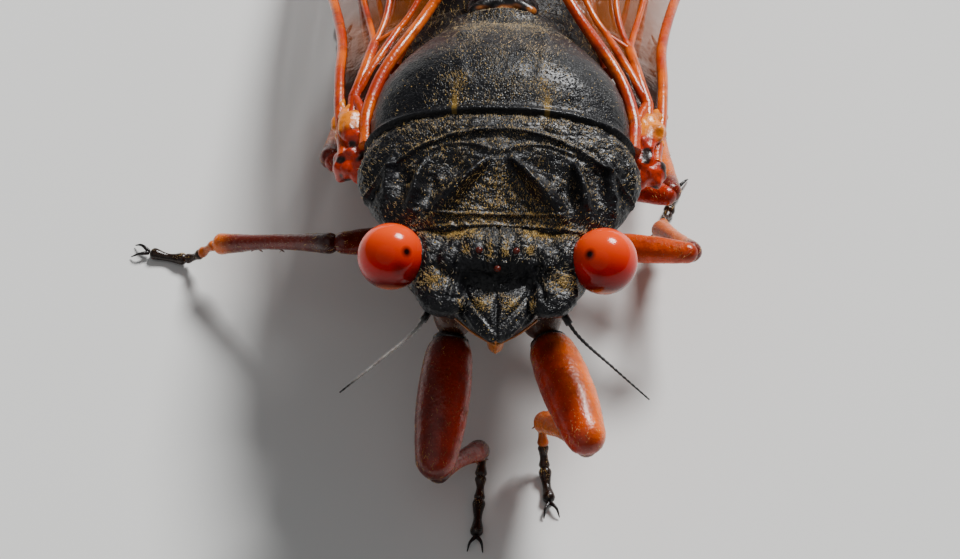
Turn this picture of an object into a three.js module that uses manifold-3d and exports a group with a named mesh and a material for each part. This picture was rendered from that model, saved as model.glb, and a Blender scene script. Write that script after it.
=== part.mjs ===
// Periodical cicada, life size, standing on six feet with its wings folded roof-like over the body.
// Millimetres. +Z is up, the head points to -Y, and the animal's left side is +X.
// The body is modelled level, in a group that is then raised and pitched head-up. The legs reach
// from it to the floor at z = 0, and the whole model is centred over the origin at the end.

import * as THREE from "three";
import { mergeVertices } from "three/addons/utils/BufferGeometryUtils.js";
import Module from "manifold-3d";

const wasm = await Module();
wasm.setup();

// Driving dimensions
const GAP = 0.3; // clearance between neighbouring pieces
const BODY_HEIGHT = 8.0; // level of the body frame's origin above the floor
const BODY_PITCH = THREE.MathUtils.degToRad(8); // the head is held up by this much
const HEAD_WIDTH = 9.36; // across both eyes
const EYE_RADIUS = 1.12;
const EYE_Z = 0.9; // height of the eyes over the body axis
const PRONOTUM_FRONT = 0.95;
const PRONOTUM_BACK = 4.85;
const MESONOTUM_BACK = 10.9;
const NOTUM_FLOOR = 0.6; // level where the back plates end and the flanks begin
const THORAX_BACK = 11.7;
const ABDOMEN_TIP = 27.2;
const ABDOMEN_SEGMENTS = 8;
const FOREWING_TIP = 39.2;
const HINDWING_TIP = 27.0;
const RIDGE = 0.5; // how far the folded wings stay from the midline
const MEMBRANE = 0.5; // thickness of a wing between its veins
const VEIN_OVER = 0.2; // how far a vein stands out of the upper face
const VEIN_UNDER = 0.08; // and of the lower face
const HINDWING_DEPTH = 1.1; // how far the hindwing lies under the forewing
const VEIN = 0.26; // half width of a main vein
const THIN_VEIN = 0.2;
const VEIN_STEP = 2.8; // length of a vein's straight stretches

const EYE_X = HEAD_WIDTH / 2 - EYE_RADIUS;
const SIDES = { right: -1, left: 1 };

// Finishes
const finish = (color, roughness, more = {}) =>
  new THREE.MeshStandardMaterial({ color, roughness, metalness: 0, ...more });
const blackShell = () => finish(0x14141a, 0.45);
const bellyBrown = () => finish(0x1c1512, 0.5);
const eyeRed = () => finish(0xc81a08, 0.18);
const legOrange = () => finish(0xb8430f, 0.35);
const footBrown = () => finish(0x3a1a0c, 0.5);
const wingAmber = () => finish(0xd98a3a, 0.25, { transparent: true, opacity: 0.6 });

// Smooth curve through [t, value] pairs, flat past its ends.
function along(table, t) {
  const last = table.length - 1;
  if (t <= table[0][0]) return table[0][1];
  if (t >= table[last][0]) return table[last][1];
  const slope = (i) => {
    const a = table[Math.max(i - 1, 0)];
    const b = table[Math.min(i + 1, last)];
    return (b[1] - a[1]) / (b[0] - a[0]);
  };
  let i = 0;
  while (table[i + 1][0] < t) i += 1;
  const [t0, v0] = table[i];
  const [t1, v1] = table[i + 1];
  const h = t1 - t0;
  const u = (t - t0) / h;
  const rise = u * u * (3 - 2 * u);
  return v0 + (v1 - v0) * rise + h * (u * (1 - u) ** 2 * slope(i) - u * u * (1 - u) * slope(i + 1));
}

// The indexed geometry of these points, turned so that its faces point out.
function facingOut(points, index) {
  let volume = 0;
  for (let i = 0; i < index.length; i += 3) {
    const [a, b, c] = [points[index[i]], points[index[i + 1]], points[index[i + 2]]];
    volume += a.dot(new THREE.Vector3().crossVectors(b, c));
  }
  if (volume < 0) index.reverse();
  return new THREE.BufferGeometry().setFromPoints(points).setIndex(index);
}

// A closed skin over a row of rings with equal counts, its two ends closed by fans.
function skin(rings) {
  const sides = rings[0].length;
  const points = rings.flat();
  const ends = [rings[0], rings[rings.length - 1]].map((ring) =>
    ring.reduce((sum, p) => sum.add(p), new THREE.Vector3()).divideScalar(sides),
  );
  const index = [];
  const lastRing = (rings.length - 1) * sides;
  for (let s = 0; s < sides; s += 1) {
    const next = (s + 1) % sides;
    for (let start = 0; start < lastRing; start += sides) {
      index.push(start + s, start + next, start + sides + s);
      index.push(start + next, start + sides + next, start + sides + s);
    }
    index.push(points.length, next, s);
    index.push(points.length + 1, lastRing + s, lastRing + next);
  }
  return facingOut([...points, ...ends], index);
}

// Cutting and joining
function solid(geometry) {
  const bare = geometry.clone();
  bare.deleteAttribute("normal");
  bare.deleteAttribute("uv");
  const merged = mergeVertices(bare, 1e-5);
  return new wasm.Manifold(
    new wasm.Mesh({
      numProp: 3,
      vertProperties: new Float32Array(merged.attributes.position.array),
      triVerts: new Uint32Array(merged.index.array),
    }),
  );
}

const joined = (...solids) => wasm.Manifold.union(solids);

// The largest closed surface, so that no loose scrap of a cut stays.
const largest = (made) =>
  made.decompose().reduce((best, body) => (body.volume() > best.volume() ? body : best));

function piece(name, made, material) {
  const { vertProperties, triVerts } = largest(made).getMesh();
  const geometry = new THREE.BufferGeometry();
  geometry.setAttribute("position", new THREE.BufferAttribute(new Float32Array(vertProperties), 3));
  geometry.setIndex(new THREE.BufferAttribute(new Uint32Array(triVerts), 1));
  geometry.computeVertexNormals();
  const mesh = new THREE.Mesh(geometry, material);
  mesh.name = name;
  return mesh;
}

// A box over these ranges, wide open on the axes that are left out.
function block({ x = [-60, 60], y = [-60, 60], z = [-60, 60] }) {
  const box = new THREE.BoxGeometry(x[1] - x[0], y[1] - y[0], z[1] - z[0]);
  box.translate((x[0] + x[1]) / 2, (y[0] + y[1]) / 2, (z[0] + z[1]) / 2);
  return solid(box);
}

function ellipsoid([x, y, z], [rx, ry, rz], grow = 0, segments = 14) {
  const ball = new THREE.SphereGeometry(1, segments, Math.round(segments * 0.6));
  ball.scale(rx + grow, ry + grow, rz + grow);
  ball.translate(x, y, z);
  return solid(ball);
}

const range = (count) => Array.from({ length: count }, (_, i) => i);
const vector = ([x, y, z]) => new THREE.Vector3(x, y, z);
const curveThrough = (points) => new THREE.CatmullRomCurve3(points.map(vector), false, "centripetal");
const signedPower = (value, power) => Math.sign(value) * Math.abs(value) ** power;

// A trunk along Y, from curves of half width, top, bottom and the level of its widest line. `grow`
// makes it larger all round.
function trunk(form, grow = 0) {
  const rings = [];
  for (let i = 0; i <= form.steps; i += 1) {
    const share = i / form.steps;
    const y = form.from + (form.to - form.from) * share;
    const swell = 1 + (form.swell ? form.swell(y) : 0);
    const widest = along(form.widest, y);
    const half = along(form.half, y) * swell + grow;
    const up = (along(form.top, y) - widest) * swell + grow;
    const down = (widest - along(form.bottom, y)) * swell + grow;
    const ring = [];
    for (let s = 0; s < form.sides; s += 1) {
      const turn = (2 * Math.PI * s) / form.sides;
      const across = signedPower(Math.cos(turn), form.square);
      const rise = signedPower(Math.sin(turn), form.square);
      const z = widest + rise * (rise > 0 ? up : down);
      ring.push(new THREE.Vector3(half * across, y + grow * (2 * share - 1), z));
    }
    rings.push(ring);
  }
  return solid(skin(rings));
}

// A limb along a curve with round ends. `size` gives its half width at a share of its length, and
// `flat` its depth as a part of that width.
function limb({ points, size, flat = 1, steps = 8, sides = 8 }, grow = 0) {
  const curve = curveThrough(points);
  const length = curve.getLength();
  const up = new THREE.Vector3(0, 0, 1);
  const rings = [];
  for (let i = 0; i <= steps; i += 1) {
    const share = (1 - Math.cos((Math.PI * i) / steps)) / 2;
    const tangent = curve.getTangentAt(share);
    const side = new THREE.Vector3().crossVectors(tangent, up).normalize();
    const rise = new THREE.Vector3().crossVectors(side, tangent).normalize();
    const fromEnd = Math.min(share, 1 - share) * length;
    const half = size(share);
    const round = Math.sqrt(1 - (1 - Math.min(fromEnd / (0.8 * half), 1)) ** 2) * 0.8 + 0.2;
    const centre = curve.getPointAt(share).addScaledVector(tangent, grow * (2 * share - 1));
    const ring = [];
    for (let s = 0; s < sides; s += 1) {
      const turn = (2 * Math.PI * s) / sides;
      const point = centre.clone();
      point.addScaledVector(side, (half * round + grow) * Math.cos(turn));
      point.addScaledVector(rise, (half * round * flat + grow) * Math.sin(turn));
      ring.push(point);
    }
    rings.push(ring);
  }
  return solid(skin(rings));
}

// A spine or claw: a four-sided taper along a slightly bent line
function spine(root, tip, thick, sag = 0) {
  const middle = root.map((value, axis) => (value + tip[axis]) / 2 + (axis === 2 ? sag : 0));
  const size = (share) => thick * (1 - 0.75 * share);
  return limb({ points: [root, middle, tip], size, steps: 3, sides: 4 });
}

// Head: a cluster of lobes, with plates over the feelers, cheeks and eye mounts
function headForm(grow = 0) {
  const pairs = Object.values(SIDES).flatMap((side) => [
    ellipsoid([side * 1.75, -0.95, 0.35], [1.0, 1.2, 0.5], grow),
    ellipsoid([side * 1.75, 0.75, -0.9], [1.1, 0.95, 1.15], grow),
    ellipsoid([side * 2.4, 0.3, 0.58], [1.05, 1.05, 0.88], grow),
  ]);
  return joined(ellipsoid([0, 0.35, -0.1], [3.1, 1.75, 1.75], grow, 22), ...pairs);
}

// The swollen face, in level slices that are pointed in plan like a ship's bow. It is sharpest at
// its brow and slopes down and back from there to the beak.
const FACE = {
  top: 0.5,
  bottom: -3.4,
  front: [
    [-3.4, 0.7], [-3, 0.35], [-2, -0.65], [-1, -1.85],
    [-0.4, -2.7], [0, -3.08], [0.3, -2.6], [0.5, -1.95],
  ],
  half: [
    [-3.4, 0.45], [-3, 0.75], [-2.2, 1.15], [-1.3, 1.4],
    [-0.4, 1.42], [0, 1.35], [0.3, 1.15], [0.5, 0.8],
  ],
  depth: [[-3.4, 1.0], [-2, 2.1], [0, 2.8], [0.5, 1.7]],
  bow: [[-3, 1.6], [-1, 1.35], [0, 1.2]], // 2 would be an ellipse, 1 a diamond
};

function faceForm(grow = 0) {
  const [steps, sides] = [10, 22];
  const rings = range(steps + 1).map((i) => {
    const share = (1 - Math.cos((Math.PI * i) / steps)) / 2;
    const z = FACE.bottom + (FACE.top - FACE.bottom) * share;
    const reach = along(FACE.depth, z) / 2;
    const bow = along(FACE.bow, z);
    return range(sides).map((s) => {
      const turn = (2 * Math.PI * s) / sides;
      const [x, y] = [Math.cos(turn), Math.sin(turn)];
      const sharp = (Math.abs(x) ** bow + Math.abs(y) ** bow) ** (-1 / bow);
      return new THREE.Vector3(
        x * sharp * (along(FACE.half, z) + grow),
        along(FACE.front, z) + reach + y * sharp * (reach + grow),
        z + grow * (2 * share - 1),
      );
    });
  });
  return solid(skin(rings));
}

const eyeForm = (side, grow = 0) =>
  ellipsoid([side * EYE_X, 0, EYE_Z], [EYE_RADIUS, EYE_RADIUS, EYE_RADIUS * 1.04], grow, 18);

// The three small simple eyes on the crown
const ocelli = () =>
  [[0, -0.55, 1.42], [-0.62, 0.12, 1.68], [0.62, 0.12, 1.68]].map((at) =>
    ellipsoid(at, [0.2, 0.2, 0.2], 0, 7),
  );

const BEAK = {
  points: [[0, 0.8, -3.3], [0, 1.15, -4.2], [0, 2.6, -4.8], [0, 4.8, -5.1]],
  size: (share) => 0.42 - 0.17 * share,
};

// A feeler: two stout joints and a fine whip
const feelerForm = (side) => ({
  points: [
    [side * 2.15, -1.3, -0.1],
    [side * 2.7, -2.1, -0.5],
    [side * 3.9, -3.15, -0.95],
    [side * 5.15, -4.05, -1.55],
  ],
  size: (share) => (share < 0.2 ? 0.34 : 0.25 - 0.12 * share),
  steps: 8,
  sides: 6,
});

function headPieces() {
  const head = joined(headForm(), ...ocelli())
    .subtract(block({ y: [PRONOTUM_FRONT - GAP, 60] }))
    .subtract(faceForm(GAP))
    .subtract(joined(eyeForm(-1, GAP), eyeForm(1, GAP)));
  const beak = limb(BEAK).subtract(faceForm(GAP)).subtract(trunk(THORAX, GAP));
  const pairs = Object.entries(SIDES).flatMap(([name, side]) => [
    piece(`eye_${name}`, eyeForm(side).subtract(trunk(PRONOTUM, GAP)), eyeRed()),
    piece(`feeler_${name}`, limb(feelerForm(side)).subtract(headForm(GAP)), blackShell()),
  ]);
  const face = faceForm().subtract(trunk(THORAX, GAP));
  return [
    piece("head", head, blackShell()),
    piece("face", face, blackShell()),
    piece("beak", beak, footBrown()),
    ...pairs,
  ];
}

// Thorax and abdomen
const PRONOTUM = {
  from: PRONOTUM_FRONT,
  to: PRONOTUM_BACK,
  steps: 8,
  sides: 32,
  half: [[0.95, 3.4], [1.9, 4.15], [2.8, 4.6], [3.5, 4.82], [4.2, 4.72], [4.85, 4.4]],
  top: [[0.95, 1.62], [2.8, 2.5], [4.0, 2.98], [4.4, 3.12], [4.85, 3.1]],
  bottom: [[0.95, -0.9], [4.85, -1.2]],
  widest: [[0.95, 0.85], [4.85, 1.1]],
  square: 0.86,
};
const MESONOTUM = {
  from: PRONOTUM_BACK - 0.2,
  to: 11.3,
  steps: 12,
  sides: 30,
  half: [
    [4.6, 4.25], [5.3, 4.3], [6.3, 4.15], [7.4, 3.85],
    [8.4, 3.4], [9.5, 2.75], [10.4, 2.2], [11.3, 1.7],
  ],
  top: [[4.6, 2.9], [5.3, 3.25], [6.3, 3.58], [7.4, 3.6], [8.8, 3.15], [10.1, 2.5], [11.3, 1.95]],
  bottom: [[4.6, -0.6], [11.3, -0.4]],
  widest: [[4.6, 1.1], [11.3, 1.2]],
  square: 0.92,
};
const THORAX = {
  from: 1.2,
  to: THORAX_BACK,
  steps: 10,
  sides: 24,
  half: [[1.2, 2.5], [2.5, 3.35], [4.5, 3.95], [6.5, 4.1], [9, 3.9], [11.7, 3.4]],
  top: [[1.2, 1.2], [4.5, 1.6], [11.7, 1.4]],
  bottom: [[1.2, -2.4], [2.5, -3.2], [4.5, -4.0], [6.5, -4.3], [9, -4.3], [11.7, -4.15]],
  widest: [[1.2, -0.4], [6.5, -0.1], [11.7, -0.7]],
  square: 0.95,
};
const SEGMENT = (ABDOMEN_TIP - THORAX_BACK) / ABDOMEN_SEGMENTS;
const ABDOMEN = {
  from: THORAX_BACK + GAP,
  to: ABDOMEN_TIP,
  steps: ABDOMEN_SEGMENTS * 3,
  sides: 20,
  half: [[12, 3.35], [14, 3.5], [16.5, 3.5], [19.5, 3.15], [23, 2.3], [26, 1.1], [27.2, 0.4]],
  top: [[12, 1.1], [14, 1.15], [17, 1.05], [20, 0.7], [23, 0.0], [26, -1.0], [27.2, -1.5]],
  bottom: [[12, -4.1], [16, -4.15], [20, -3.8], [23, -3.3], [26, -2.4], [27.2, -1.9]],
  widest: [[12, -1.2], [20, -1.4], [27.2, -1.7]],
  square: 0.95,
  // each segment flares a little towards its rear edge
  swell: (y) => 0.05 * (((y - THORAX_BACK) / SEGMENT) % 1) - 0.02,
};

// The raised cross at the tip of the mesonotum
function crossForm() {
  const arm = (side, end) => ({
    points: [[0, 11.75, 1.95], [side * 0.6, (11.75 + end[0]) / 2, 1.95], [side * 1.1, ...end]],
    size: () => 0.3,
    steps: 4,
    sides: 6,
  });
  const ends = [[11.15, 1.85], [12.6, 1.7]];
  const arms = Object.values(SIDES).flatMap((side) => ends.map((end) => limb(arm(side, end))));
  return joined(ellipsoid([0, 11.8, 1.5], [1.25, 0.85, 0.7]), ...arms);
}

function thoraxPieces() {
  const overFlanks = block({ z: [NOTUM_FLOOR + GAP / 2, 60] });
  const underNotum = block({ z: [-60, NOTUM_FLOOR - GAP / 2] });
  const mesonotum = trunk(MESONOTUM).intersect(block({ y: [PRONOTUM_BACK + GAP, MESONOTUM_BACK] }));
  const cross = crossForm()
    .subtract(block({ y: [-60, MESONOTUM_BACK + GAP] }))
    .subtract(trunk(ABDOMEN, GAP))
    .subtract(block({ z: [-60, NOTUM_FLOOR + GAP / 2] }));
  const thorax = trunk(THORAX)
    .intersect(underNotum)
    .subtract(headForm(GAP))
    .subtract(block({ y: [-60, 0.95] }));
  return [
    piece("pronotum", trunk(PRONOTUM).intersect(overFlanks), blackShell()),
    piece("mesonotum", mesonotum.intersect(overFlanks), blackShell()),
    piece("cruciform_elevation", cross, blackShell()),
    piece("thorax", thorax, bellyBrown()),
    piece("abdomen", trunk(ABDOMEN), bellyBrown()),
  ];
}

// Wings lie on a curved carrier surface. `foot` is the line of the leading edge. From it a section
// climbs at `slope` degrees, easing by `bend` degrees a millimetre towards the ridge.
const CARRIER = {
  x: [[5.5, 5.3], [9, 5.85], [11, 6.05], [14, 6.4], [18, 6.7], [23, 6.5], [28, 5.9], [33, 4.9], [39.2, 3.3]],
  z: [[5.5, 0.5], [9, 0.35], [13, -0.8], [18, -2.3], [23, -3.0], [28, -2.8], [33, -2.1], [39.2, -1.0]],
  slope: [[5.5, 36], [9, 35], [11, 36], [14, 52], [18, 68], [22, 73], [28, 70], [39.2, 58]],
  bend: [[5.5, 3], [11, 3], [14, 3.9], [20, 4.4], [39.2, 4.2]],
};

function carrierAt(y) {
  const slope = THREE.MathUtils.degToRad(along(CARRIER.slope, y));
  const bend = THREE.MathUtils.degToRad(along(CARRIER.bend, y));
  return { x: along(CARRIER.x, y), z: along(CARRIER.z, y), slope, bend };
}

// A point `reach` up the section from the leading edge, lifted off the surface by `lift`
function carrierPoint(side, y, reach, lift) {
  const { x, z, slope, bend } = carrierAt(y);
  const turned = slope - bend * reach;
  return new THREE.Vector3(
    side * (x - (Math.sin(slope) - Math.sin(turned)) / bend + lift * Math.sin(turned)),
    y,
    z + (Math.cos(turned) - Math.cos(slope)) / bend + lift * Math.cos(turned),
  );
}

// The reach at which a section comes this close to the midline
function reachAt(y, close) {
  const { x, slope, bend } = carrierAt(y);
  return (slope - Math.asin(Math.sin(slope) - bend * (x - close))) / bend;
}

// A wing's outline: reach of its front and hind edges along the body
const FOREWING = {
  base: 5.6,
  tip: FOREWING_TIP,
  node: 22.5,
  claval: 18.5,
  apex: { cells: 8, rise: 8, skew: 0.75, back: 2.5 },
  front(y) {
    const root = [[5.6, 0.1], [7, 0.2], [9, 0.5], [11.5, 0.85], [14, 1.0], [17, 0.85]];
    const middle = [[20, 0.5], [23, 0.2], [26, 0.12], [30, 0.2]];
    const tip = [[34, 0.6], [37, 1.4], [38.5, 2.1], [39.2, 3.2]];
    return along([...root, ...middle, ...tip], y);
  },
  hind(y) {
    const inner = [[5.6, 4.72], [6.5, 4.72], [8, 4.15], [9.5, 3.3], [11, 2.5], [13, 1.35], [15, RIDGE]];
    const width = [[24, 10.2], [28, 9.0], [32, 7.6], [36, 6.0], [37.8, 4.9], [38.8, 4.1], [39.2, 3.4]];
    return Math.min(reachAt(y, along(inner, y)), along(width, y));
  },
};
const HINDWING = {
  base: 10.4,
  tip: HINDWING_TIP,
  node: 19,
  claval: 17.5,
  apex: { cells: 5, rise: 3.4, skew: 0.8, back: 1 },
  front: (y) => along([[10.4, 1.2], [14, 1.3], [20, 1.6], [24, 2.2], [26.3, 3.3], [27, 4.2]], y),
  hind(y) {
    const root = [[10.4, 2.2], [12, 3.0], [14, 4.1], [17, 6.0]];
    const tip = [[20, 7.4], [23, 7.3], [26, 6.0], [27, 4.6]];
    return along([...root, ...tip], y);
  },
};

// Veins as a plane net of [y, reach] points and the strips between them
class VeinNet {
  points = [];
  strips = [];

  add(point) {
    return this.points.push(point) - 1;
  }

  // a vein from one point to another, its points between them given by `place`
  follow(from, to, half, parts, place) {
    let last = from;
    for (let i = 1; i <= parts; i += 1) {
      const next = i === parts ? to : this.add(place(i / parts));
      this.strips.push([last, next, half]);
      last = next;
    }
  }

  // a vein that bows sideways by `bow`
  run(from, to, half, bow = 0.1) {
    const [y0, r0] = this.points[from];
    const [y1, r1] = this.points[to];
    const length = Math.hypot(y1 - y0, r1 - r0);
    this.follow(from, to, half, Math.max(1, Math.round(length / VEIN_STEP)), (t) => {
      const aside = (bow * 4 * t * (1 - t)) / length;
      return [y0 + (y1 - y0) * t - aside * (r1 - r0), r0 + (r1 - r0) * t + aside * (y1 - y0)];
    });
  }
}

// For each point of a net, the corners between neighbouring spokes, where their strips' edges meet
function cornerRings(net, spokes, flat) {
  return spokes.map((ring, at) =>
    ring.map((spoke, k) => {
      const next = ring[(k + 1) % ring.length];
      const cross = Math.sin(next.angle - spoke.angle);
      const mean = (spoke.half + next.half) / 2;
      let offset = [-Math.sin(spoke.angle) * mean, Math.cos(spoke.angle) * mean];
      if (Math.abs(cross) > 0.08) {
        offset = [
          (next.half * Math.cos(spoke.angle) + spoke.half * Math.cos(next.angle)) / cross,
          (next.half * Math.sin(spoke.angle) + spoke.half * Math.sin(next.angle)) / cross,
        ];
      }
      const short = Math.min(1, (2.2 * VEIN) / Math.hypot(...offset));
      const [y, reach] = net.points[at];
      return flat.push({ y: y + offset[0] * short, reach: reach + offset[1] * short }) - 1;
    }),
  );
}

// Turns a net into a closed wing: strips become ridges and the loops between them cells. Both
// faces have the same triangles.
function wingSolid(net, side, depth) {
  const spokes = net.points.map(() => []);
  for (const [a, b, half] of net.strips) {
    for (const [from, to] of [[a, b], [b, a]]) {
      const [y0, r0] = net.points[from];
      const [y1, r1] = net.points[to];
      spokes[from].push({ to, half, angle: Math.atan2(r1 - r0, y1 - y0) });
    }
  }
  spokes.forEach((ring) => ring.sort((a, b) => a.angle - b.angle));
  const flat = net.points.map(([y, reach]) => ({ y, reach, crest: true }));
  const corners = cornerRings(net, spokes, flat);
  const spokeTo = (from, to) => spokes[from].findIndex((spoke) => spoke.to === to);
  const before = (at, k) => (k + spokes[at].length - 1) % spokes[at].length;

  const faces = [];
  for (const [a, b] of net.strips) {
    const [ka, kb] = [spokeTo(a, b), spokeTo(b, a)];
    const [leftA, rightA] = [corners[a][ka], corners[a][before(a, ka)]];
    const [leftB, rightB] = [corners[b][before(b, kb)], corners[b][kb]];
    faces.push([a, b, leftB], [a, leftB, leftA], [a, rightA, rightB], [a, rightB, b]);
  }

  // walk round each loop of the net; the one that runs clockwise is the rim
  let rim = [];
  const seen = new Set();
  const walk = (start, firstSpoke) => {
    const loop = [];
    let [at, k] = [start, firstSpoke];
    while (!seen.has(`${at},${k}`)) {
      seen.add(`${at},${k}`);
      const to = spokes[at][k].to;
      k = before(to, spokeTo(to, at));
      at = to;
      loop.push(corners[at][k]);
    }
    return loop;
  };
  spokes.forEach((ring, at) =>
    ring.forEach((_, k) => {
      const loop = walk(at, k);
      if (loop.length === 0) return;
      const contour = loop.map((i) => new THREE.Vector2(flat[i].y, flat[i].reach));
      if (THREE.ShapeUtils.area(contour) < 0) {
        rim = loop;
        return;
      }
      const cell = THREE.ShapeUtils.triangulateShape(contour, []);
      faces.push(...cell.map((tri) => tri.map((i) => loop[i])));
    }),
  );

  const face = (sign, vein) =>
    flat.map(({ y, reach, crest }) =>
      carrierPoint(side, y, reach, sign * (MEMBRANE / 2 + (crest ? vein : 0)) - depth),
    );
  const count = flat.length;
  const index = faces.flatMap(([a, b, c]) => [a, b, c, a + count, c + count, b + count]);
  rim.forEach((a, i) => {
    const b = rim[(i + 1) % rim.length];
    index.push(a, b, a + count, b, b + count, a + count);
  });
  return solid(facingOut([...face(1, VEIN_OVER), ...face(-1, VEIN_UNDER)], index));
}

// The rim from the node, round the tip, to the end of the claval vein, as shares from 0 to 1
function rimPoint(wing, share) {
  const start = share < 0.5 ? wing.node : wing.claval;
  const y = start + (wing.tip - start) * Math.sin(Math.PI * share);
  return [y, share < 0.5 ? wing.front(y) : wing.hind(y)];
}

// The net that both wings share: edge veins from the root, a basal point where the inner veins
// part, and apical cells that fan out between a bow of cross veins and the rim.
function startNet(wing, edgeVein) {
  const net = new VeinNet();
  const inside = (y, share) =>
    net.add([y, THREE.MathUtils.lerp(wing.front(y), wing.hind(y), share)]);
  const [root, heel] = [inside(wing.base, 0), inside(wing.base, 1)];
  const [node, claval] = [inside(wing.node, 0), inside(wing.claval, 1)];
  const basal = inside(wing.base + 2, 0.4);
  const edge = (from, to, outline) => {
    const [[y0], [y1]] = [net.points[from], net.points[to]];
    net.follow(from, to, edgeVein, Math.round((y1 - y0) / VEIN_STEP), (t) => {
      const y = y0 + (y1 - y0) * t;
      return [y, outline(y)];
    });
  };
  edge(root, node, wing.front);
  edge(heel, claval, wing.hind);
  net.run(root, basal, THIN_VEIN, 0);
  net.run(heel, basal, THIN_VEIN, 0);

  const { cells, rise, skew, back } = wing.apex;
  const bow = [node];
  const rim = [node];
  const shares = [0];
  for (let k = 1; k < cells; k += 1) {
    const part = k / cells;
    const y = wing.node + rise * Math.sin(Math.PI * part ** skew) - back * part;
    bow.push(inside(y, 0.1 + 0.8 * part));
    shares.push(0.14 + (0.75 * k) / (cells - 1));
    rim.push(net.add(rimPoint(wing, shares[k])));
    net.run(bow[k], rim[k], THIN_VEIN, 0.4 * (part - 0.45));
  }
  [bow, rim].forEach((stops) => stops.push(claval));
  shares.push(1);
  for (let k = 1; k <= cells; k += 1) {
    net.run(bow[k - 1], bow[k], THIN_VEIN, 0.05);
    const place = (t) => rimPoint(wing, THREE.MathUtils.lerp(shares[k - 1], shares[k], t));
    net.follow(rim[k - 1], rim[k], THIN_VEIN, k === 1 || k === cells ? 4 : 3, place);
  }
  return { net, inside, basal, bow };
}

function forewingNet() {
  const { net, inside, basal, bow } = startNet(FOREWING, VEIN);
  const basalFront = inside(10.2, 0.45);
  const basalHind = inside(10.6, 0.72);
  const forkMedian = inside(17.2, 0.5);
  const forkCubital = inside(14.6, 0.76);
  const forkRadial = inside(15.0, 0.22);
  net.run(basal, basalFront, THIN_VEIN);
  net.run(basal, basalHind, VEIN);
  net.run(basalFront, basalHind, THIN_VEIN, 0);
  net.run(basalFront, forkRadial, THIN_VEIN, -0.15);
  net.run(forkRadial, bow[1], THIN_VEIN, 0.2);
  net.run(basalFront, forkMedian, THIN_VEIN, 0.15);
  net.run(forkMedian, bow[3], THIN_VEIN, -0.5);
  net.run(forkMedian, bow[5], THIN_VEIN, 0.5);
  net.run(basalHind, forkCubital, THIN_VEIN);
  net.run(forkCubital, bow[6], THIN_VEIN, -0.4);
  net.run(forkCubital, bow[7], THIN_VEIN, 0.4);
  return net;
}

function hindwingNet() {
  const { net, inside, basal, bow } = startNet(HINDWING, THIN_VEIN);
  const fork = inside(15.5, 0.5);
  net.run(basal, bow[1], THIN_VEIN, -0.3);
  net.run(basal, fork, THIN_VEIN, 0.2);
  net.run(fork, bow[2], THIN_VEIN, -0.3);
  net.run(fork, bow[4], THIN_VEIN, 0.3);
  return net;
}

// Each wing is rooted in a knob beside the thorax
function wingPieces() {
  const fore = forewingNet();
  const hind = hindwingNet();
  const body = joined(trunk(THORAX, GAP), trunk(MESONOTUM, GAP), trunk(PRONOTUM, GAP));
  return Object.entries(SIDES).flatMap(([name, side]) => {
    const tegula = ellipsoid([side * 4.85, 5.25, 0.5], [0.85, 0.95, 0.75]);
    const hinge = ellipsoid([side * 4.25, 10.0, 0.1], [0.5, 1.0, 0.5]);
    const forewing = joined(wingSolid(fore, side, 0), tegula).subtract(body);
    const hindwing = joined(wingSolid(hind, side, HINDWING_DEPTH), hinge).subtract(body);
    return [
      piece(`forewing_${name}`, forewing, wingAmber()),
      piece(`hindwing_${name}`, hindwing, wingAmber()),
    ];
  });
}

// Legs, in the standing frame. Widths are half widths at the thickest place.
const LEG_KINDS = {
  fore: { coxa: 0.85, femur: 0.9, tibia: 0.36, tarsus: 0.26, spines: 2 },
  mid: { coxa: 0.8, femur: 0.52, tibia: 0.33, tarsus: 0.26, spines: 1 },
  hind: { coxa: 0.8, femur: 0.52, tibia: 0.33, tarsus: 0.26, spines: 4 },
};
const TOE_LEVEL = 0.2; // height of the toe's middle, so that its lowest part is a small flat
const LEGS = [
  ["fore_right", [-1.35, 1.3, 5.0], [-1.5, 0.3, 4.35], [-1.97, -4.5, 3.0], [-0.35, -1.75, 0.9], [-0.5, -4.9]],
  ["fore_left", [1.35, 1.3, 5.0], [1.75, 0.3, 4.35], [3.23, -4.6, 4.8], [1.63, -1.1, 1.7], [1.95, -3.4]],
  ["mid_right", [-1.7, 5.0, 3.7], [-2.6, 5.5, 2.9], [-5.47, 4.15, 4.5], [-9.7, 6.4, 1.5], [-12.0, 7.0]],
  ["mid_left", [1.7, 5.0, 3.7], [2.6, 5.5, 2.9], [6.7, 4.46, 4.0], [5.6, 8.0, 0.9], [6.2, 10.4]],
  ["hind_right", [-1.6, 8.6, 3.1], [-2.6, 9.2, 2.2], [-5.83, 7.8, 4.4], [-5.2, 13.8, 1.0], [-5.5, 17.0]],
  ["hind_left", [1.6, 8.6, 3.1], [2.6, 9.2, 2.2], [5.93, 7.0, 3.9], [5.2, 13.6, 1.0], [5.5, 16.8]],
];

const between = (a, b, share, lift = 0) =>
  a.map((value, axis) => value + (b[axis] - value) * share + (axis === 2 ? lift : 0));

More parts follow.
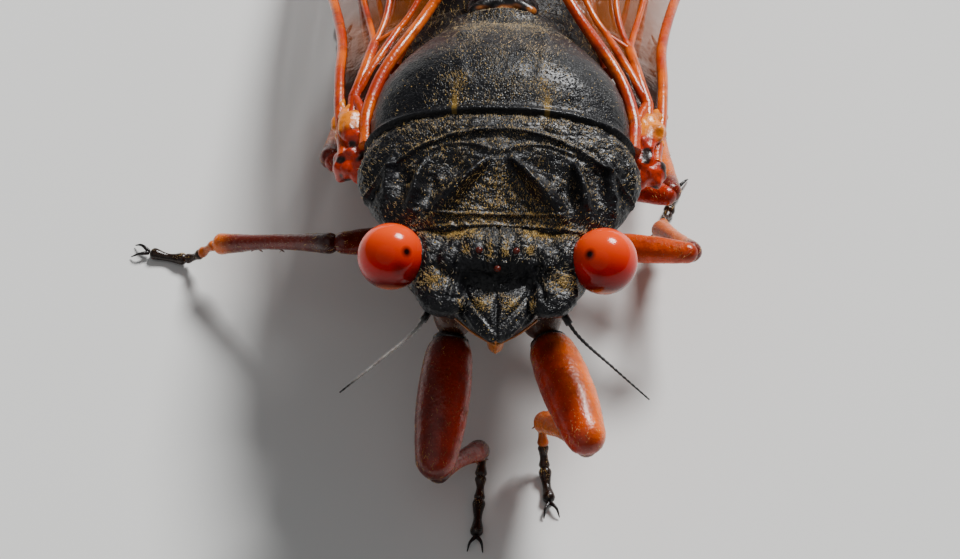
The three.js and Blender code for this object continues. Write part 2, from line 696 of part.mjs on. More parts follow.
function legPieces([name, hip, trochanter, knee, ankle, toe], body) {
  const kind = LEG_KINDS[name.split("_")[0]];
  const heelPad = between(ankle, [...toe, TOE_LEVEL], 0.45);
  heelPad[2] = TOE_LEVEL + 0.06;
  const tip = [...toe, TOE_LEVEL];
  const coxa = {
    points: [hip, between(hip, trochanter, 0.5), trochanter],
    size: (share) => kind.coxa * (1 - 0.3 * share),
  };
  const femur = {
    points: [trochanter, between(trochanter, knee, 0.5, 0.1), knee],
    size: (share) => kind.femur * (0.6 + 0.4 * Math.sin(Math.PI * (0.1 + 0.8 * share) ** 0.9)),
    flat: 0.9,
  };
  const tibia = {
    points: [knee, between(knee, ankle, 0.5, 0.1), ankle],
    size: (share) => kind.tibia * (1.15 - 0.35 * Math.sin(Math.PI * share)),
    sides: 7,
  };
  const tarsus = {
    points: [ankle, heelPad, tip],
    size: (share) => kind.tarsus * (0.85 + 0.15 * Math.cos(6 * Math.PI * share)),
    steps: 8,
    sides: 7,
  };
  const femurSpines = range(kind.spines === 2 ? 2 : 0).map((i) => {
    const root = between(knee, trochanter, 0.16 + 0.16 * i);
    return spine(root, [root[0], root[1] + 0.25, root[2] - 1.35 + 0.15 * i], 0.22);
  });
  const tibiaSpines = range(kind.spines).map((i) => {
    const root = between(ankle, knee, 0.03 + 0.17 * i);
    const out = i % 2 ? -1 : 1;
    return spine(root, [root[0] + 0.45 * out, root[1], root[2] - 0.55], 0.14);
  });
  const heading = vector(tip).sub(vector(heelPad)).normalize();
  const claws = [-1, 1].map((out) => {
    const end = [
      tip[0] + 0.6 * heading.x - 0.3 * out * heading.y,
      tip[1] + 0.6 * heading.y + 0.3 * out * heading.x,
      0.13,
    ];
    return spine(tip, end, 0.15, 0.12);
  });
  const ground = block({ z: [-60, 0] });
  return [
    piece(`coxa_${name}`, limb(coxa).subtract(body), bellyBrown()),
    piece(`femur_${name}`, joined(limb(femur), ...femurSpines).subtract(limb(coxa, GAP)), legOrange()),
    piece(`tibia_${name}`, joined(limb(tibia), ...tibiaSpines).subtract(limb(femur, GAP)), legOrange()),
    piece(
      `tarsus_${name}`,
      joined(limb(tarsus), ...claws).subtract(limb(tibia, GAP)).subtract(ground),
      footBrown(),
    ),
  ];
}

// The whole animal: the pitched body, and the legs that reach from it to the floor
const body = new THREE.Group();
body.add(...headPieces(), ...thoraxPieces(), ...wingPieces());
body.rotation.x = -BODY_PITCH;
body.position.z = BODY_HEIGHT;
body.updateMatrixWorld(true);

const standing = joined(trunk(THORAX, GAP), faceForm(GAP), headForm(GAP)).transform(
  body.matrixWorld.toArray(),
);
const animal = new THREE.Group();
animal.add(body, ...LEGS.flatMap((leg) => legPieces(leg, standing)));

const size = new THREE.Box3().setFromObject(animal, true);
const middle = size.getCenter(new THREE.Vector3());
animal.position.set(-middle.x, -middle.y, 0);

const group = new THREE.Group();
group.add(animal);
group.updateMatrixWorld(true);

export default group;
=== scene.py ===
"""A periodical cicada at life size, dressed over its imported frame."""

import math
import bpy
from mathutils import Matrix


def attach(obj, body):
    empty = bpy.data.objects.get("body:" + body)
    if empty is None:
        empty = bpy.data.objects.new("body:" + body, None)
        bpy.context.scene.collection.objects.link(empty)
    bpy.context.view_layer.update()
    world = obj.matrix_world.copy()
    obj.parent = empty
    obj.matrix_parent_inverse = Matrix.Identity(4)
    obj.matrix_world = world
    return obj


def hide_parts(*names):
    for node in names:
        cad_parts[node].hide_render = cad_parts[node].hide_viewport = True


bl_info = {
    "name": "Periodical Cicada",
    "version": (1, 0, 0),
    "blender": (4, 5, 0),
    "location": "View3D > Sidebar > Cicada",
    "description": "Builds a life-size periodical cicada over its packed frame",
    "category": "Object",
}

import bpy
import numpy as np
from mathutils import Matrix, Vector

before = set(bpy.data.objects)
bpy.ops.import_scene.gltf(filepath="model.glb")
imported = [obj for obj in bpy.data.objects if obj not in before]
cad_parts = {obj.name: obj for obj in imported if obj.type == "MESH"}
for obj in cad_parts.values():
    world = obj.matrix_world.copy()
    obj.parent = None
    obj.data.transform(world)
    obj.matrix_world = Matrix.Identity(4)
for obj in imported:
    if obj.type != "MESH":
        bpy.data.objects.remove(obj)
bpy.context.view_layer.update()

# The frame of the body: millimetres, x to the animal's left, y to its rear, z up. It is pitched
# head up and stands over the floor, and the whole animal is centred on the origin.
MM = 0.001
PITCH = math.radians(8)
BODY_HEIGHT = 8.0
BODY_ORIGIN = (2.86761, -16.87187)
SIDES = {"right": -1, "left": 1}

# Where the camera stands, from the photograph
CAMERA_ELEVATION = math.radians(51.5)
CAMERA_LOOKS_AT = (-0.57, -0.7)  # millimetres right of and above the middle between the eyes
CAMERA_LENS = 337.5
CAMERA_SENSOR = 36  # millimetres wide
CAMERA_ROLL = math.radians(1.3)
SEEN_BACK = 0.688  # how much of a step to the rear shows as a step up in the picture
SEEN_UP = 0.725  # and how much of a step up from the level of the eyes does

# The directions of the picture: to its right, up in it, and into it
RIGHT = Vector((1, 0, 0))
UP = Vector((0, math.sin(CAMERA_ELEVATION), math.cos(CAMERA_ELEVATION)))
AHEAD = Vector((0, math.cos(CAMERA_ELEVATION), -math.sin(CAMERA_ELEVATION)))

# Tints of the shell, where a finish reads its colour from the mesh
BLACK = (0.006, 0.005, 0.005)
LEG_BLACK = (0.008, 0.005, 0.005)
BELLY_BLACK = (0.012, 0.009, 0.008)

# The head
EYE_X = 3.56
EYE_Z = 0.9
CRANIUM = ((0, 0.35, -0.1), (3.1, 1.75, 1.75))
HEAD_LOBES = [
    ((1.75, -0.95, 0.35), (1.0, 1.2, 0.5)),
    ((1.75, 0.75, -0.9), (1.1, 0.95, 1.15)),
    ((2.4, 0.3, 0.58), (1.05, 1.05, 0.88)),
    ((0.85, 0.3, 1.2), (0.5, 0.6, 0.48)),
    ((1.6, -0.1, 1.02), (0.5, 0.62, 0.42)),
    ((2.1, -0.62, 0.55), (0.62, 0.68, 0.45)),
    ((1.95, -1.3, 0.22), (0.62, 0.72, 0.36)),
]
OCELLI = [(0, -0.8, 1.2), (-0.62, -0.28, 1.55), (0.62, -0.28, 1.55)]
FACE = {
    "ends": (-3.4, 0.55),
    "front": [
        [-3.4, 0.7], [-3, 0.35], [-2, -0.65], [-1, -1.85], [-0.4, -2.7],
        [0, -3.08], [0.3, -2.6], [0.5, -1.98], [0.55, -1.72],
    ],
    "half": [
        [-3.4, 0.45], [-3, 0.75], [-2.2, 1.15], [-1.3, 1.4], [-0.4, 1.42],
        [0, 1.35], [0.3, 1.18], [0.5, 1.02], [0.55, 0.95],
    ],
    "depth": [[-3.4, 1.0], [-2, 2.1], [0, 2.8], [0.5, 1.75], [0.55, 1.5]],
    "bow": [[-3, 1.6], [-1, 1.35], [0, 1.2], [0.55, 1.9]],
}
# The left one of the two brown rods along the edges of the face
FACE_RIM = [(1.38, -1.3, -0.62), (0.75, -1.98, -0.64), (0.02, -2.56, -0.62)]
BEAK = [(0, 0.8, -3.3), (0, 1.15, -4.2), (0, 2.6, -4.8), (0, 4.8, -5.1)]
FEELER = [(2.05, -1.2, 0.0), (2.7, -2.1, -0.5), (3.9, -3.15, -0.95), (5.15, -4.05, -1.55)]

# The plates of the back and the rings of the belly, as tables of [y, value]
PRONOTUM = {
    "ends": (0.95, 4.85),
    "half": [[0.95, 3.4], [1.9, 4.15], [2.8, 4.6], [3.5, 4.82], [4.2, 4.72], [4.85, 4.4]],
    "top": [[0.95, 1.62], [2.8, 2.5], [4.0, 2.98], [4.4, 3.12], [4.85, 3.1]],
    "bottom": [[0.95, 0.2], [4.85, 0.35]],
    "widest": [[0.95, 0.85], [4.85, 1.1]],
    "square": 0.86,
}
MESONOTUM = {
    "ends": (4.5, 11.1),
    "half": [
        [4.5, 4.3], [5.3, 4.4], [6.3, 4.35], [7.4, 4.1], [8.4, 3.6], [9.5, 2.85], [10.4, 2.2], [11.3, 1.7],
    ],
    "top": [[4.5, 2.85], [5.3, 3.22], [6.3, 3.58], [7.4, 3.6], [8.8, 3.15], [10.1, 2.5], [11.3, 1.95]],
    "bottom": [[4.5, 0.45], [11.3, 0.45]],
    "widest": [[4.5, 1.1], [11.3, 1.2]],
    "square": 0.92,
}
THORAX = {
    "ends": (0.9, 12.1),
    "half": [[0.9, 2.3], [2.5, 3.35], [4.5, 3.95], [6.5, 4.1], [9, 3.9], [12.1, 3.35]],
    "top": [[0.9, 1.1], [4.5, 1.6], [12.1, 1.3]],
    "bottom": [[0.9, -2.2], [2.5, -3.2], [4.5, -4.0], [6.5, -4.3], [9, -4.3], [12.1, -4.1]],
    "widest": [[0.9, -0.4], [6.5, -0.1], [12.1, -0.7]],
    "square": 0.95,
}
ABDOMEN = {
    "ends": (11.6, 27.2),
    "half": [[11.6, 3.3], [14, 3.5], [16.5, 3.5], [19.5, 3.15], [23, 2.3], [26, 1.1], [27.2, 0.4]],
    "top": [[11.6, 1.1], [14, 1.15], [17, 1.05], [20, 0.7], [23, 0.0], [26, -1.0], [27.2, -1.5]],
    "bottom": [[11.6, -4.1], [16, -4.15], [20, -3.8], [23, -3.3], [26, -2.4], [27.2, -1.9]],
    "widest": [[11.6, -1.2], [20, -1.4], [27.2, -1.7]],
    "square": 0.95,
}
THORAX_BACK = 11.7
ABDOMEN_RING = 15.5 / 8  # length of each of the eight rings behind it
THORAX_SEAMS = [((3.4, 0.6), (4.0, -4.0)), ((7.2, 0.6), (7.9, -4.0))]  # as (y, z), down the flanks
LONG_SEAM = ((1.6, -1.0), (11.5, -1.6))

# The surface that the folded wings lie on: the line of the leading edge, the slope there in
# degrees, and how many degrees a millimetre it bends towards the ridge
CARRIER = {
    "x": [
        [5.5, 5.3], [9, 5.85], [11, 6.05], [14, 6.4], [18, 6.7], [23, 6.5], [28, 5.9], [33, 4.9], [39.2, 3.3],
    ],
    "z": [
        [5.5, 0.5], [9, 0.35], [13, -0.8], [18, -2.3], [23, -3.0], [28, -2.8], [33, -2.1], [39.2, -1.0],
    ],
    "slope": [[5.5, 36], [9, 35], [11, 36], [14, 52], [18, 68], [22, 73], [28, 70], [39.2, 58]],
    "bend": [[5.5, 3], [11, 3], [14, 3.9], [20, 4.4], [39.2, 4.2]],
}
LEAF_HALF = 0.02  # half the thickness of the wing skin
VEIN_LEAD = 0.5  # how far the edge veins start in front of the wing skin
VEIN_SIDES = 10
RIM_INSET = 0.42  # from the edge vein to the fine line that follows it inside
FOREWING = {
    "base": 5.6,
    "dark_root": 9,
    "tip": 39.2,
    "node": 22.5,
    "claval": 18.5,
    "lift": 0.1,
    "apex": {"cells": 8, "rise": 8, "skew": 0.75, "back": 2.5},
    "front": [
        [5.6, 0.1], [7, 0.2], [9, 0.5], [11.5, 0.85], [14, 1.0], [17, 0.85], [20, 0.5], [23, 0.2],
        [26, 0.12], [30, 0.2], [34, 0.6], [37, 1.4], [38.5, 2.1], [39.2, 3.2],
    ],
    "inner": [[5.6, 4.42], [6.5, 4.42], [8, 4.02], [9.5, 3.25], [11, 2.5], [13, 1.35], [15, 0.5]],
    "width": [[24, 10.2], [28, 9.0], [32, 7.6], [36, 6.0], [37.8, 4.9], [38.8, 4.1], [39.2, 3.4]],
}
HINDWING = {
    "base": 10.4,
    "dark_root": 4.5,
    "tip": 27.0,
    "node": 19.0,
    "claval": 17.5,
    "lift": -1.1,
    "apex": {"cells": 5, "rise": 3.4, "skew": 0.8, "back": 1},
    "front": [[10.4, 1.2], [14, 1.3], [20, 1.6], [24, 2.2], [26.3, 3.3], [27, 4.2]],
    "width": [[10.4, 2.2], [12, 3.0], [14, 4.1], [17, 6.0], [20, 7.4], [23, 7.3], [26, 6.0], [27, 4.6]],
}
ROOT_LUMPS = [  # of the knob at a forewing's root and the plate behind it: place and radii
    ((4.75, 5.35, 0.5), (0.66, 0.75, 0.55)),
    ((5.15, 5.05, 0.3), (0.5, 0.62, 0.5)),
    ((4.65, 4.75, 0.35), (0.46, 0.5, 0.42)),
    ((4.5, 5.5, 1.0), (0.3, 0.42, 0.22)),
    ((4.98, 6.35, 0.98), (0.56, 1.0, 0.3)),
    ((5.3, 6.9, 0.65), (0.36, 1.3, 0.26)),
    ((4.45, 6.2, 1.05), (0.24, 1.1, 0.22)),
    ((4.3, 9.9, 0.1), (0.42, 0.95, 0.42)),
]

# The legs, in the upright frame over the floor: hip, trochanter, knee, ankle and toe
LEGS = {
    "fore_right": [
        (-1.35, 1.3, 5.0), (-1.5, 0.3, 4.35), (-1.97, -4.5, 3.0), (-0.35, -1.75, 0.9), (-0.5, -4.9, 0.2),
    ],
    "fore_left": [
        (1.35, 1.3, 5.0), (1.75, 0.3, 4.35), (3.23, -4.6, 4.8), (1.63, -1.1, 1.7), (1.95, -3.4, 0.2),
    ],
    "mid_right": [
        (-1.7, 5, 3.7), (-2.6, 5.5, 2.9), (-5.47, 4.15, 4.5), (-9.7, 6.4, 1.5), (-12, 7, 0.2),
    ],
    "mid_left": [
        (1.7, 5, 3.7), (2.6, 5.5, 2.9), (6.7, 4.46, 4.0), (5.6, 8, 0.9), (6.2, 10.4, 0.2),
    ],
    "hind_right": [
        (-1.6, 8.6, 3.1), (-2.6, 9.2, 2.2), (-5.83, 7.8, 4.4), (-5.2, 13.8, 1.0), (-5.5, 17, 0.2),
    ],
    "hind_left": [
        (1.6, 8.6, 3.1), (2.6, 9.2, 2.2), (5.93, 7, 3.9), (5.2, 13.6, 1.0), (5.5, 16.8, 0.2),
    ],
}
FEET_BARE_UNDER = 0.35  # millimetres over the floor, below which no hair grows
LEG_KINDS = {  # half widths in millimetres, and how many spines femur and tibia have
    "fore": {"coxa": 0.85, "femur": 0.9, "tibia": 0.36, "tarsus": 0.24, "spines": (2, 4)},
    "mid": {"coxa": 0.8, "femur": 0.52, "tibia": 0.33, "tarsus": 0.23, "spines": (0, 6)},
    "hind": {"coxa": 0.8, "femur": 0.52, "tibia": 0.33, "tarsus": 0.23, "spines": (0, 10)},
}


# Curves and surfaces as arrays of points

def along(table, place):
    """Smooth values of a table of [place, value]."""
    places, values = np.asarray(table, float).T
    slopes = np.gradient(values, places)
    slopes[1:-1] = (values[2:] - values[:-2]) / (places[2:] - places[:-2])
    place = np.clip(np.asarray(place, float), places[0], places[-1])
    i = np.clip(np.searchsorted(places, place, side="right") - 1, 0, len(places) - 2)
    step = places[i + 1] - places[i]
    u = (place - places[i]) / step
    rise = (values[i + 1] - values[i]) * u * u * (3 - 2 * u)
    return values[i] + rise + step * u * (1 - u) * ((1 - u) * slopes[i] - u * slopes[i + 1])


def upright(points):
    """Points of the upright frame over the floor, in metres in the row frame."""
    return (np.asarray(points, float) + [*BODY_ORIGIN, 0]) * MM


def pitched(points):
    """Points of the body's frame, in metres in the row frame."""
    return upright(turned(points) + [0, 0, BODY_HEIGHT])


def turned(vectors):
    """Directions of the body's frame, pitched as the body is."""
    x, y, z = np.moveaxis(np.asarray(vectors, float), -1, 0)
    cos, sin = math.cos(PITCH), math.sin(PITCH)
    return np.stack([x, cos * y + sin * z, cos * z - sin * y], -1)


def seen(points):
    """Where body points lie in the picture, in millimetres right of and above the eyes' middle."""
    x, y, z = np.moveaxis(np.asarray(points, float), -1, 0)
    return x, SEEN_BACK * y + SEEN_UP * (z - EYE_Z)


def hump(x, y, at, wide):
    """A soft round hump of height 1 on a plane."""
    return np.exp(-(((x - at[0]) / wide[0]) ** 2) - ((y - at[1]) / wide[1]) ** 2)


def off_line(x, y, start, end):
    """How far plane points lie from a line, and the share along it of the nearest place."""
    step = np.subtract(end, start)
    share = np.clip(((x - start[0]) * step[0] + (y - start[1]) * step[1]) / (step @ step), 0, 1)
    return np.hypot(x - start[0] - share * step[0], y - start[1] - share * step[1]), share


def step_up(value, start, end):
    """0 below start, 1 above end and smooth between them."""
    share = np.clip((value - start) / (end - start), 0, 1)
    return share * share * (3 - 2 * share)


GRAIN_LATTICE = 32  # seeded values along each side of the lattice that grain reads


def grain(points, size, seed=1):
    """Lumps of about one size, between -1 and 1, from a lattice of seeded values."""
    values = np.random.default_rng(seed).uniform(-1, 1, (GRAIN_LATTICE,) * 3)
    place = points / (0.6 * size) + 100
    corner = np.floor(place).astype(int)
    share = place - corner
    share = share * share * (3 - 2 * share)
    total = 0
    for step in np.ndindex(2, 2, 2):
        weight = np.prod(np.where(step, share, 1 - share), axis=1)
        total = total + weight * values[tuple(((corner + step) % GRAIN_LATTICE).T)]
    return total * 1.3


def tube_faces(rings, around):
    """Faces of a row of rings, closed at both ends on a last two points."""
    ring = np.arange(around)
    after = (ring + 1) % around
    rows = np.arange(rings - 1)[:, None] * around
    walls = np.stack([rows + ring, rows + after, rows + around + after, rows + around + ring], -1)
    first, last = rings * around, rings * around + 1
    top = (rings - 1) * around
    caps = [(first, int(b), int(a)) for a, b in zip(ring, after)]
    caps += [(last, int(top + a), int(top + b)) for a, b in zip(ring, after)]
    return [tuple(face) for face in walls.reshape(-1, 4).tolist()] + caps


def closed(rings):
    """The points of rings and of the two poles that close them."""
    around = rings.reshape(-1, 3)
    return np.vstack([around, rings[0].mean(0), rings[-1].mean(0)]), tube_faces(*rings.shape[:2])


def power(value, exponent):
    """A power that keeps the sign of its value."""
    return np.sign(value) * np.abs(value) ** exponent


def trunk(form, rings, around, swell=None):
    """A body part lofted along y, in the body's frame, its ends rounded off."""
    start, end = form["ends"]
    eased = (1 - np.cos(np.linspace(0, math.pi, rings))) / 2
    share = 0.7 * np.linspace(0, 1, rings) + 0.3 * eased
    y = (start + (end - start) * share)[:, None]
    turn = np.linspace(0, 2 * math.pi, around, endpoint=False)[None, :]
    grow = 1 + swell(y) if swell else 1
    widest = along(form["widest"], y)
    up = (along(form["top"], y) - widest) * grow
    down = (widest - along(form["bottom"], y)) * grow
    across = power(np.cos(turn), form["square"])
    rise = power(np.sin(turn), form["square"])
    x = along(form["half"], y) * grow * across
    z = widest + rise * np.where(rise > 0, up, down)
    body = np.stack([x, y + 0 * turn, z], -1)
    lips = []
    for ring, out in ((body[0], -1), (body[-1], 1)):
        middle = ring.mean(0)
        lips.append([middle + (ring - middle) * (1 - k * k) + [0, out * k, 0] for k in (0.06, 0.1)])
    return closed(np.concatenate([lips[0][::-1], body, lips[1]]))


def ellipsoid(at, radii, rows=22, around=34):
    """A round lobe with its poles up and down."""
    tilt = np.linspace(-math.pi / 2, math.pi / 2, rows + 2)[1:-1, None]
    turn = np.linspace(0, 2 * math.pi, around, endpoint=False)[None, :]
    level, rise = np.cos(tilt), np.sin(tilt)
    points, faces = closed(np.stack([level * np.cos(turn), level * np.sin(turn), rise + 0 * turn], -1))
    points[-2:] = (0, 0, -1), (0, 0, 1)
    return np.asarray(at) + points * radii, faces


def curve_through(stops, steps, ease=True):
    """Points of a smooth curve through stops, closer together near its ends."""
    stops = np.asarray(stops, float)
    way = np.concatenate([[0], np.cumsum(np.linalg.norm(np.diff(stops, axis=0), axis=1))])
    share = np.linspace(0, 1, steps)
    if ease:
        share = 0.5 * share + 0.5 * (1 - np.cos(math.pi * share)) / 2
    place = share * way[-1]
    table = [np.stack([way, stops[:, axis]], -1) for axis in range(3)]
    return np.stack([along(t, place) for t in table], -1), share, way[-1]


TUBE_TIP = 0.04  # how wide the very end of a rod is, as a share of its width


def tube(stops, half, steps=24, around=14, flat=1.0, blunt=1.0):
    """A round rod along a curve, its ends rounded. half is its half width at a share of it."""
    centre, share, length = curve_through(stops, steps)
    heading = np.gradient(centre, axis=0)
    heading /= np.linalg.norm(heading, axis=1, keepdims=True)
    side = np.cross(heading, [0, 0, 1.0])
    side /= np.linalg.norm(side, axis=1, keepdims=True)
    rise = np.cross(side, heading)
    width = half(share)
    from_end = np.minimum(share, 1 - share) * length
    round_off = np.sqrt(1 - (1 - np.minimum(from_end / (blunt * width), 1)) ** 2)
    width = width * (TUBE_TIP + (1 - TUBE_TIP) * round_off)
    turn = np.linspace(0, 2 * math.pi, around, endpoint=False)[None, :, None]
    out = side[:, None] * np.cos(turn) + rise[:, None] * flat * np.sin(turn)
    points, faces = closed(centre[:, None] + out * width[:, None, None])
    return points, faces, np.concatenate([np.repeat(share, around), [0, 1]])


# Meshes, and what they carry for their finish and coat

class Gathered:
    """Forms gathered into one mesh, with a tint at each point."""

    def __init__(self):
        self.points, self.faces, self.tints, self.count = [], [], [], 0

    def add(self, points, faces, tint=(0, 0, 0)):
        self.points.append(points)
        self.faces += [tuple(corner + self.count for corner in face) for face in faces]
        self.tints.append(np.broadcast_to(tint, (len(points), 3)))
        self.count += len(points)

    def mesh(self, name):
        made = new_mesh(name, np.vstack(self.points), self.faces)
        keep_tint(made, np.vstack(self.tints))
        return made


def new_mesh(name, points, faces):
    mesh = bpy.data.meshes.new(name)
    mesh.from_pydata(points.tolist(), [], faces)
    mesh.shade_smooth()
    return mesh


def read(mesh, name="co"):
    """The places or normals of a mesh's points."""
    values = np.empty(len(mesh.vertices) * 3, np.float32)
    mesh.vertices.foreach_get(name, values)
    return values.reshape(-1, 3).astype(float)


def write(mesh, points):
    mesh.vertices.foreach_set("co", np.asarray(points, np.float32).ravel())
    mesh.update()


def keep(mesh, name, kind, values):
    """Stores a value at each point of a mesh."""
    field = {"FLOAT": "value", "FLOAT_COLOR": "color"}.get(kind, "vector")
    layer = mesh.attributes.new(name, kind, "POINT")
    layer.data.foreach_set(field, np.asarray(values, np.float32).ravel())


def keep_tint(mesh, tints):
    """Stores a colour at each point of a mesh."""
    keep(mesh, "tint", "FLOAT_COLOR", np.hstack([tints, np.ones((len(tints), 1))]))


def carve(mesh, relief):
    """Moves each point of a mesh along its normal by what relief gives for its place."""
    points, normals = read(mesh), read(mesh, "normal")
    write(mesh, points + normals * relief(points)[:, None])


def groom(mesh, density, gold, lie, skin_uv):
    """Stores how thick, how golden and which way the coat grows from a skin."""
    keep(mesh, "hair", "FLOAT", np.clip(density, 0, 2))
    keep(mesh, "gold", "FLOAT", np.clip(gold, 0, 1))
    keep(mesh, "lie", "FLOAT_VECTOR", lie)
    keep(mesh, "skin_uv", "FLOAT2", skin_uv)


def round_unwrap(points, length):
    """An unwrap of a rounded body part: the turn about its long axis, and the place along it."""
    across, rise = points[:, 0], points[:, 2]
    turn = np.arctan2(rise - rise.mean(), across) / (2 * math.pi) + 0.5
    share = (points[:, 1] - points[:, 1].min()) / length
    return np.stack([0.02 + 0.96 * turn, 0.02 + 0.96 * share], -1)


def as_object(name, mesh):
    made = bpy.data.objects.new(name, mesh)
    bpy.context.scene.collection.objects.link(made)
    return made


def applied(made, name):
    """A plain mesh of an object with its modifiers, which are then gone."""
    bpy.context.view_layer.update()
    evaluated = made.evaluated_get(bpy.context.evaluated_depsgraph_get())
    whole = bpy.data.meshes.new_from_object(evaluated)
    whole.name = name
    old = made.data
    made.modifiers.clear()
    made.data = whole
    if old.users == 0:
        bpy.data.meshes.remove(old)
    return whole


def melted(name, forms, voxel, rounds):
    """One smooth skin over forms that overlap, in millimetres."""
    gathered = Gathered()
    for points, faces in forms:
        gathered.add(points, faces)
    rough = as_object(name, new_mesh(name, np.vstack(gathered.points), gathered.faces))
    remesh = rough.modifiers.new("skin", "REMESH")
    remesh.mode = "VOXEL"
    remesh.voxel_size = voxel
    remesh.use_smooth_shade = True
    smooth = rough.modifiers.new("smooth", "SMOOTH")
    smooth.factor = 0.5
    smooth.iterations = rounds
    mesh = applied(rough, name)
    bpy.data.objects.remove(rough)
    return mesh


def dressed(name, mesh, material, slot, *nodes):
    """A finished piece that rides on the body, with its finish, in place of CAD nodes."""
    mesh.name = name
    mesh.materials.clear()
    mesh.materials.append(material)
    made = as_object(name, mesh)
    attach(made, "root")
    if nodes:
        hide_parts(*nodes)
    return made


# Node trees, for the finishes and the coat

def wire(tree, kind, sockets=None, **settings):
    """Adds a node to a tree. Each of its inputs is given a value or the output it is linked to."""
    node = tree.nodes.new(kind)
    for name, value in settings.items():
        setattr(node, name, value)
    for name, value in (sockets or {}).items():
        if isinstance(value, bpy.types.NodeSocket):
            tree.links.new(value, node.inputs[name])
        else:
            node.inputs[name].default_value = value
    return node


def maths(tree, operation, first, second=0.0):
    return wire(tree, "ShaderNodeMath", {0: first, 1: second}, operation=operation).outputs[0]


def millimetres(tree):
    """Object coordinates in millimetres."""
    place = wire(tree, "ShaderNodeTexCoord").outputs["Object"]
    return wire(tree, "ShaderNodeVectorMath", {0: place, "Scale": 1000.0}, operation="SCALE").outputs[0]


def noise(tree, place, size, detail=3.0):
    """Noise with lumps of about a size in millimetres, between 0 and 1."""
    settings = {"Vector": place, "Scale": 1 / size, "Detail": detail}
    return wire(tree, "ShaderNodeTexNoise", settings).outputs["Fac"]


def stored(tree, name, output="Fac"):
    """A value that the mesh keeps at its points."""
    return wire(tree, "ShaderNodeAttribute", attribute_name=name).outputs[output]


def blend(tree, share, first, second, blend_type="MIX"):
    """A mix of two colours."""
    node = wire(tree, "ShaderNodeMix", data_type="RGBA", blend_type=blend_type)
    for index, value in ((0, share), (6, first), (7, second)):
        if isinstance(value, bpy.types.NodeSocket):
            tree.links.new(value, node.inputs[index])
        else:
            node.inputs[index].default_value = value if index == 0 else (*value[:3], 1)
    return node.outputs[2]


def between(tree, value, low, high, start=0.0, end=1.0):
    """A value spread from low..high to start..end, and kept inside them."""
    sockets = {"Value": value, "From Min": low, "From Max": high, "To Min": start, "To Max": end}
    return wire(tree, "ShaderNodeMapRange", sockets).outputs[0]


def new_finish(name, **sockets):
    """A new material, its tree and its shader, with the sockets that are the same all over."""
    material = bpy.data.materials.new(name)
    material.use_nodes = True
    tree = material.node_tree
    shader = tree.nodes["Principled BSDF"]
    for socket, value in sockets.items():
        shader.inputs[socket.replace("_", " ")].default_value = value
    return material, tree, shader


def paint(tree, shader, colour, roughness=None):
    """Gives a shader its colour, and its roughness where that varies."""
    tree.links.new(colour, shader.inputs["Base Color"])
    if roughness:
        tree.links.new(roughness, shader.inputs["Roughness"])


def raise_surface(tree, shader, height, depth):
    """Lets a height from 0 to 1 stand out by a depth in millimetres."""
    bump = wire(tree, "ShaderNodeBump", {"Height": height, "Distance": depth * MM, "Strength": 1.0})
    tree.links.new(bump.outputs[0], shader.inputs["Normal"])


def shell_finish(name, look, fleck_gold=0.5):
    """Black shell: punctured, finely wrinkled, and flecked with scales of gold and silver."""
    material, tree, shader = new_finish(name, Specular_IOR_Level=0.28)
    place = millimetres(tree)
    hair = stored(tree, "hair")
    gold = maths(tree, "MAXIMUM", stored(tree, "gold"), fleck_gold)
    cloud = noise(tree, place, 0.9)
    black = blend(tree, cloud, look.shell_colour, [c * 2.5 + 0.002 for c in look.shell_colour])
    stained = between(tree, stored(tree, "gold"), 0.87, 1.0, 0.0, 0.7)
    black = blend(tree, stained, black, look.stain)
    cells = wire(tree, "ShaderNodeTexVoronoi", {"Vector": place, "Scale": 13.0, "Randomness": 1.0})
    fleck = between(tree, cells.outputs["Distance"], 0.30, 0.20)
    chosen = wire(tree, "ShaderNodeSeparateColor", {0: cells.outputs["Color"]})
    lit = maths(tree, "GREATER_THAN", maths(tree, "MULTIPLY", hair, 0.42), chosen.outputs[0])
    fleck = maths(tree, "MULTIPLY", fleck, lit)
    warm = maths(tree, "GREATER_THAN", gold, chosen.outputs[1])
    metal = blend(tree, warm, look.silver, look.gold)
    dull = maths(tree, "MULTIPLY", fleck, 0.75)
    paint(tree, shader, blend(tree, dull, black, metal), between(tree, cloud, 0.25, 0.75, 0.24, 0.42))
    wrinkle = noise(tree, place, 0.16, 5.0)
    pits = between(tree, cells.outputs["Distance"], 0.0, 0.5)
    height = maths(tree, "ADD", maths(tree, "MULTIPLY", wrinkle, 0.7), maths(tree, "MULTIPLY", pits, 0.5))
    raise_surface(tree, shader, height, 0.035)
    return material


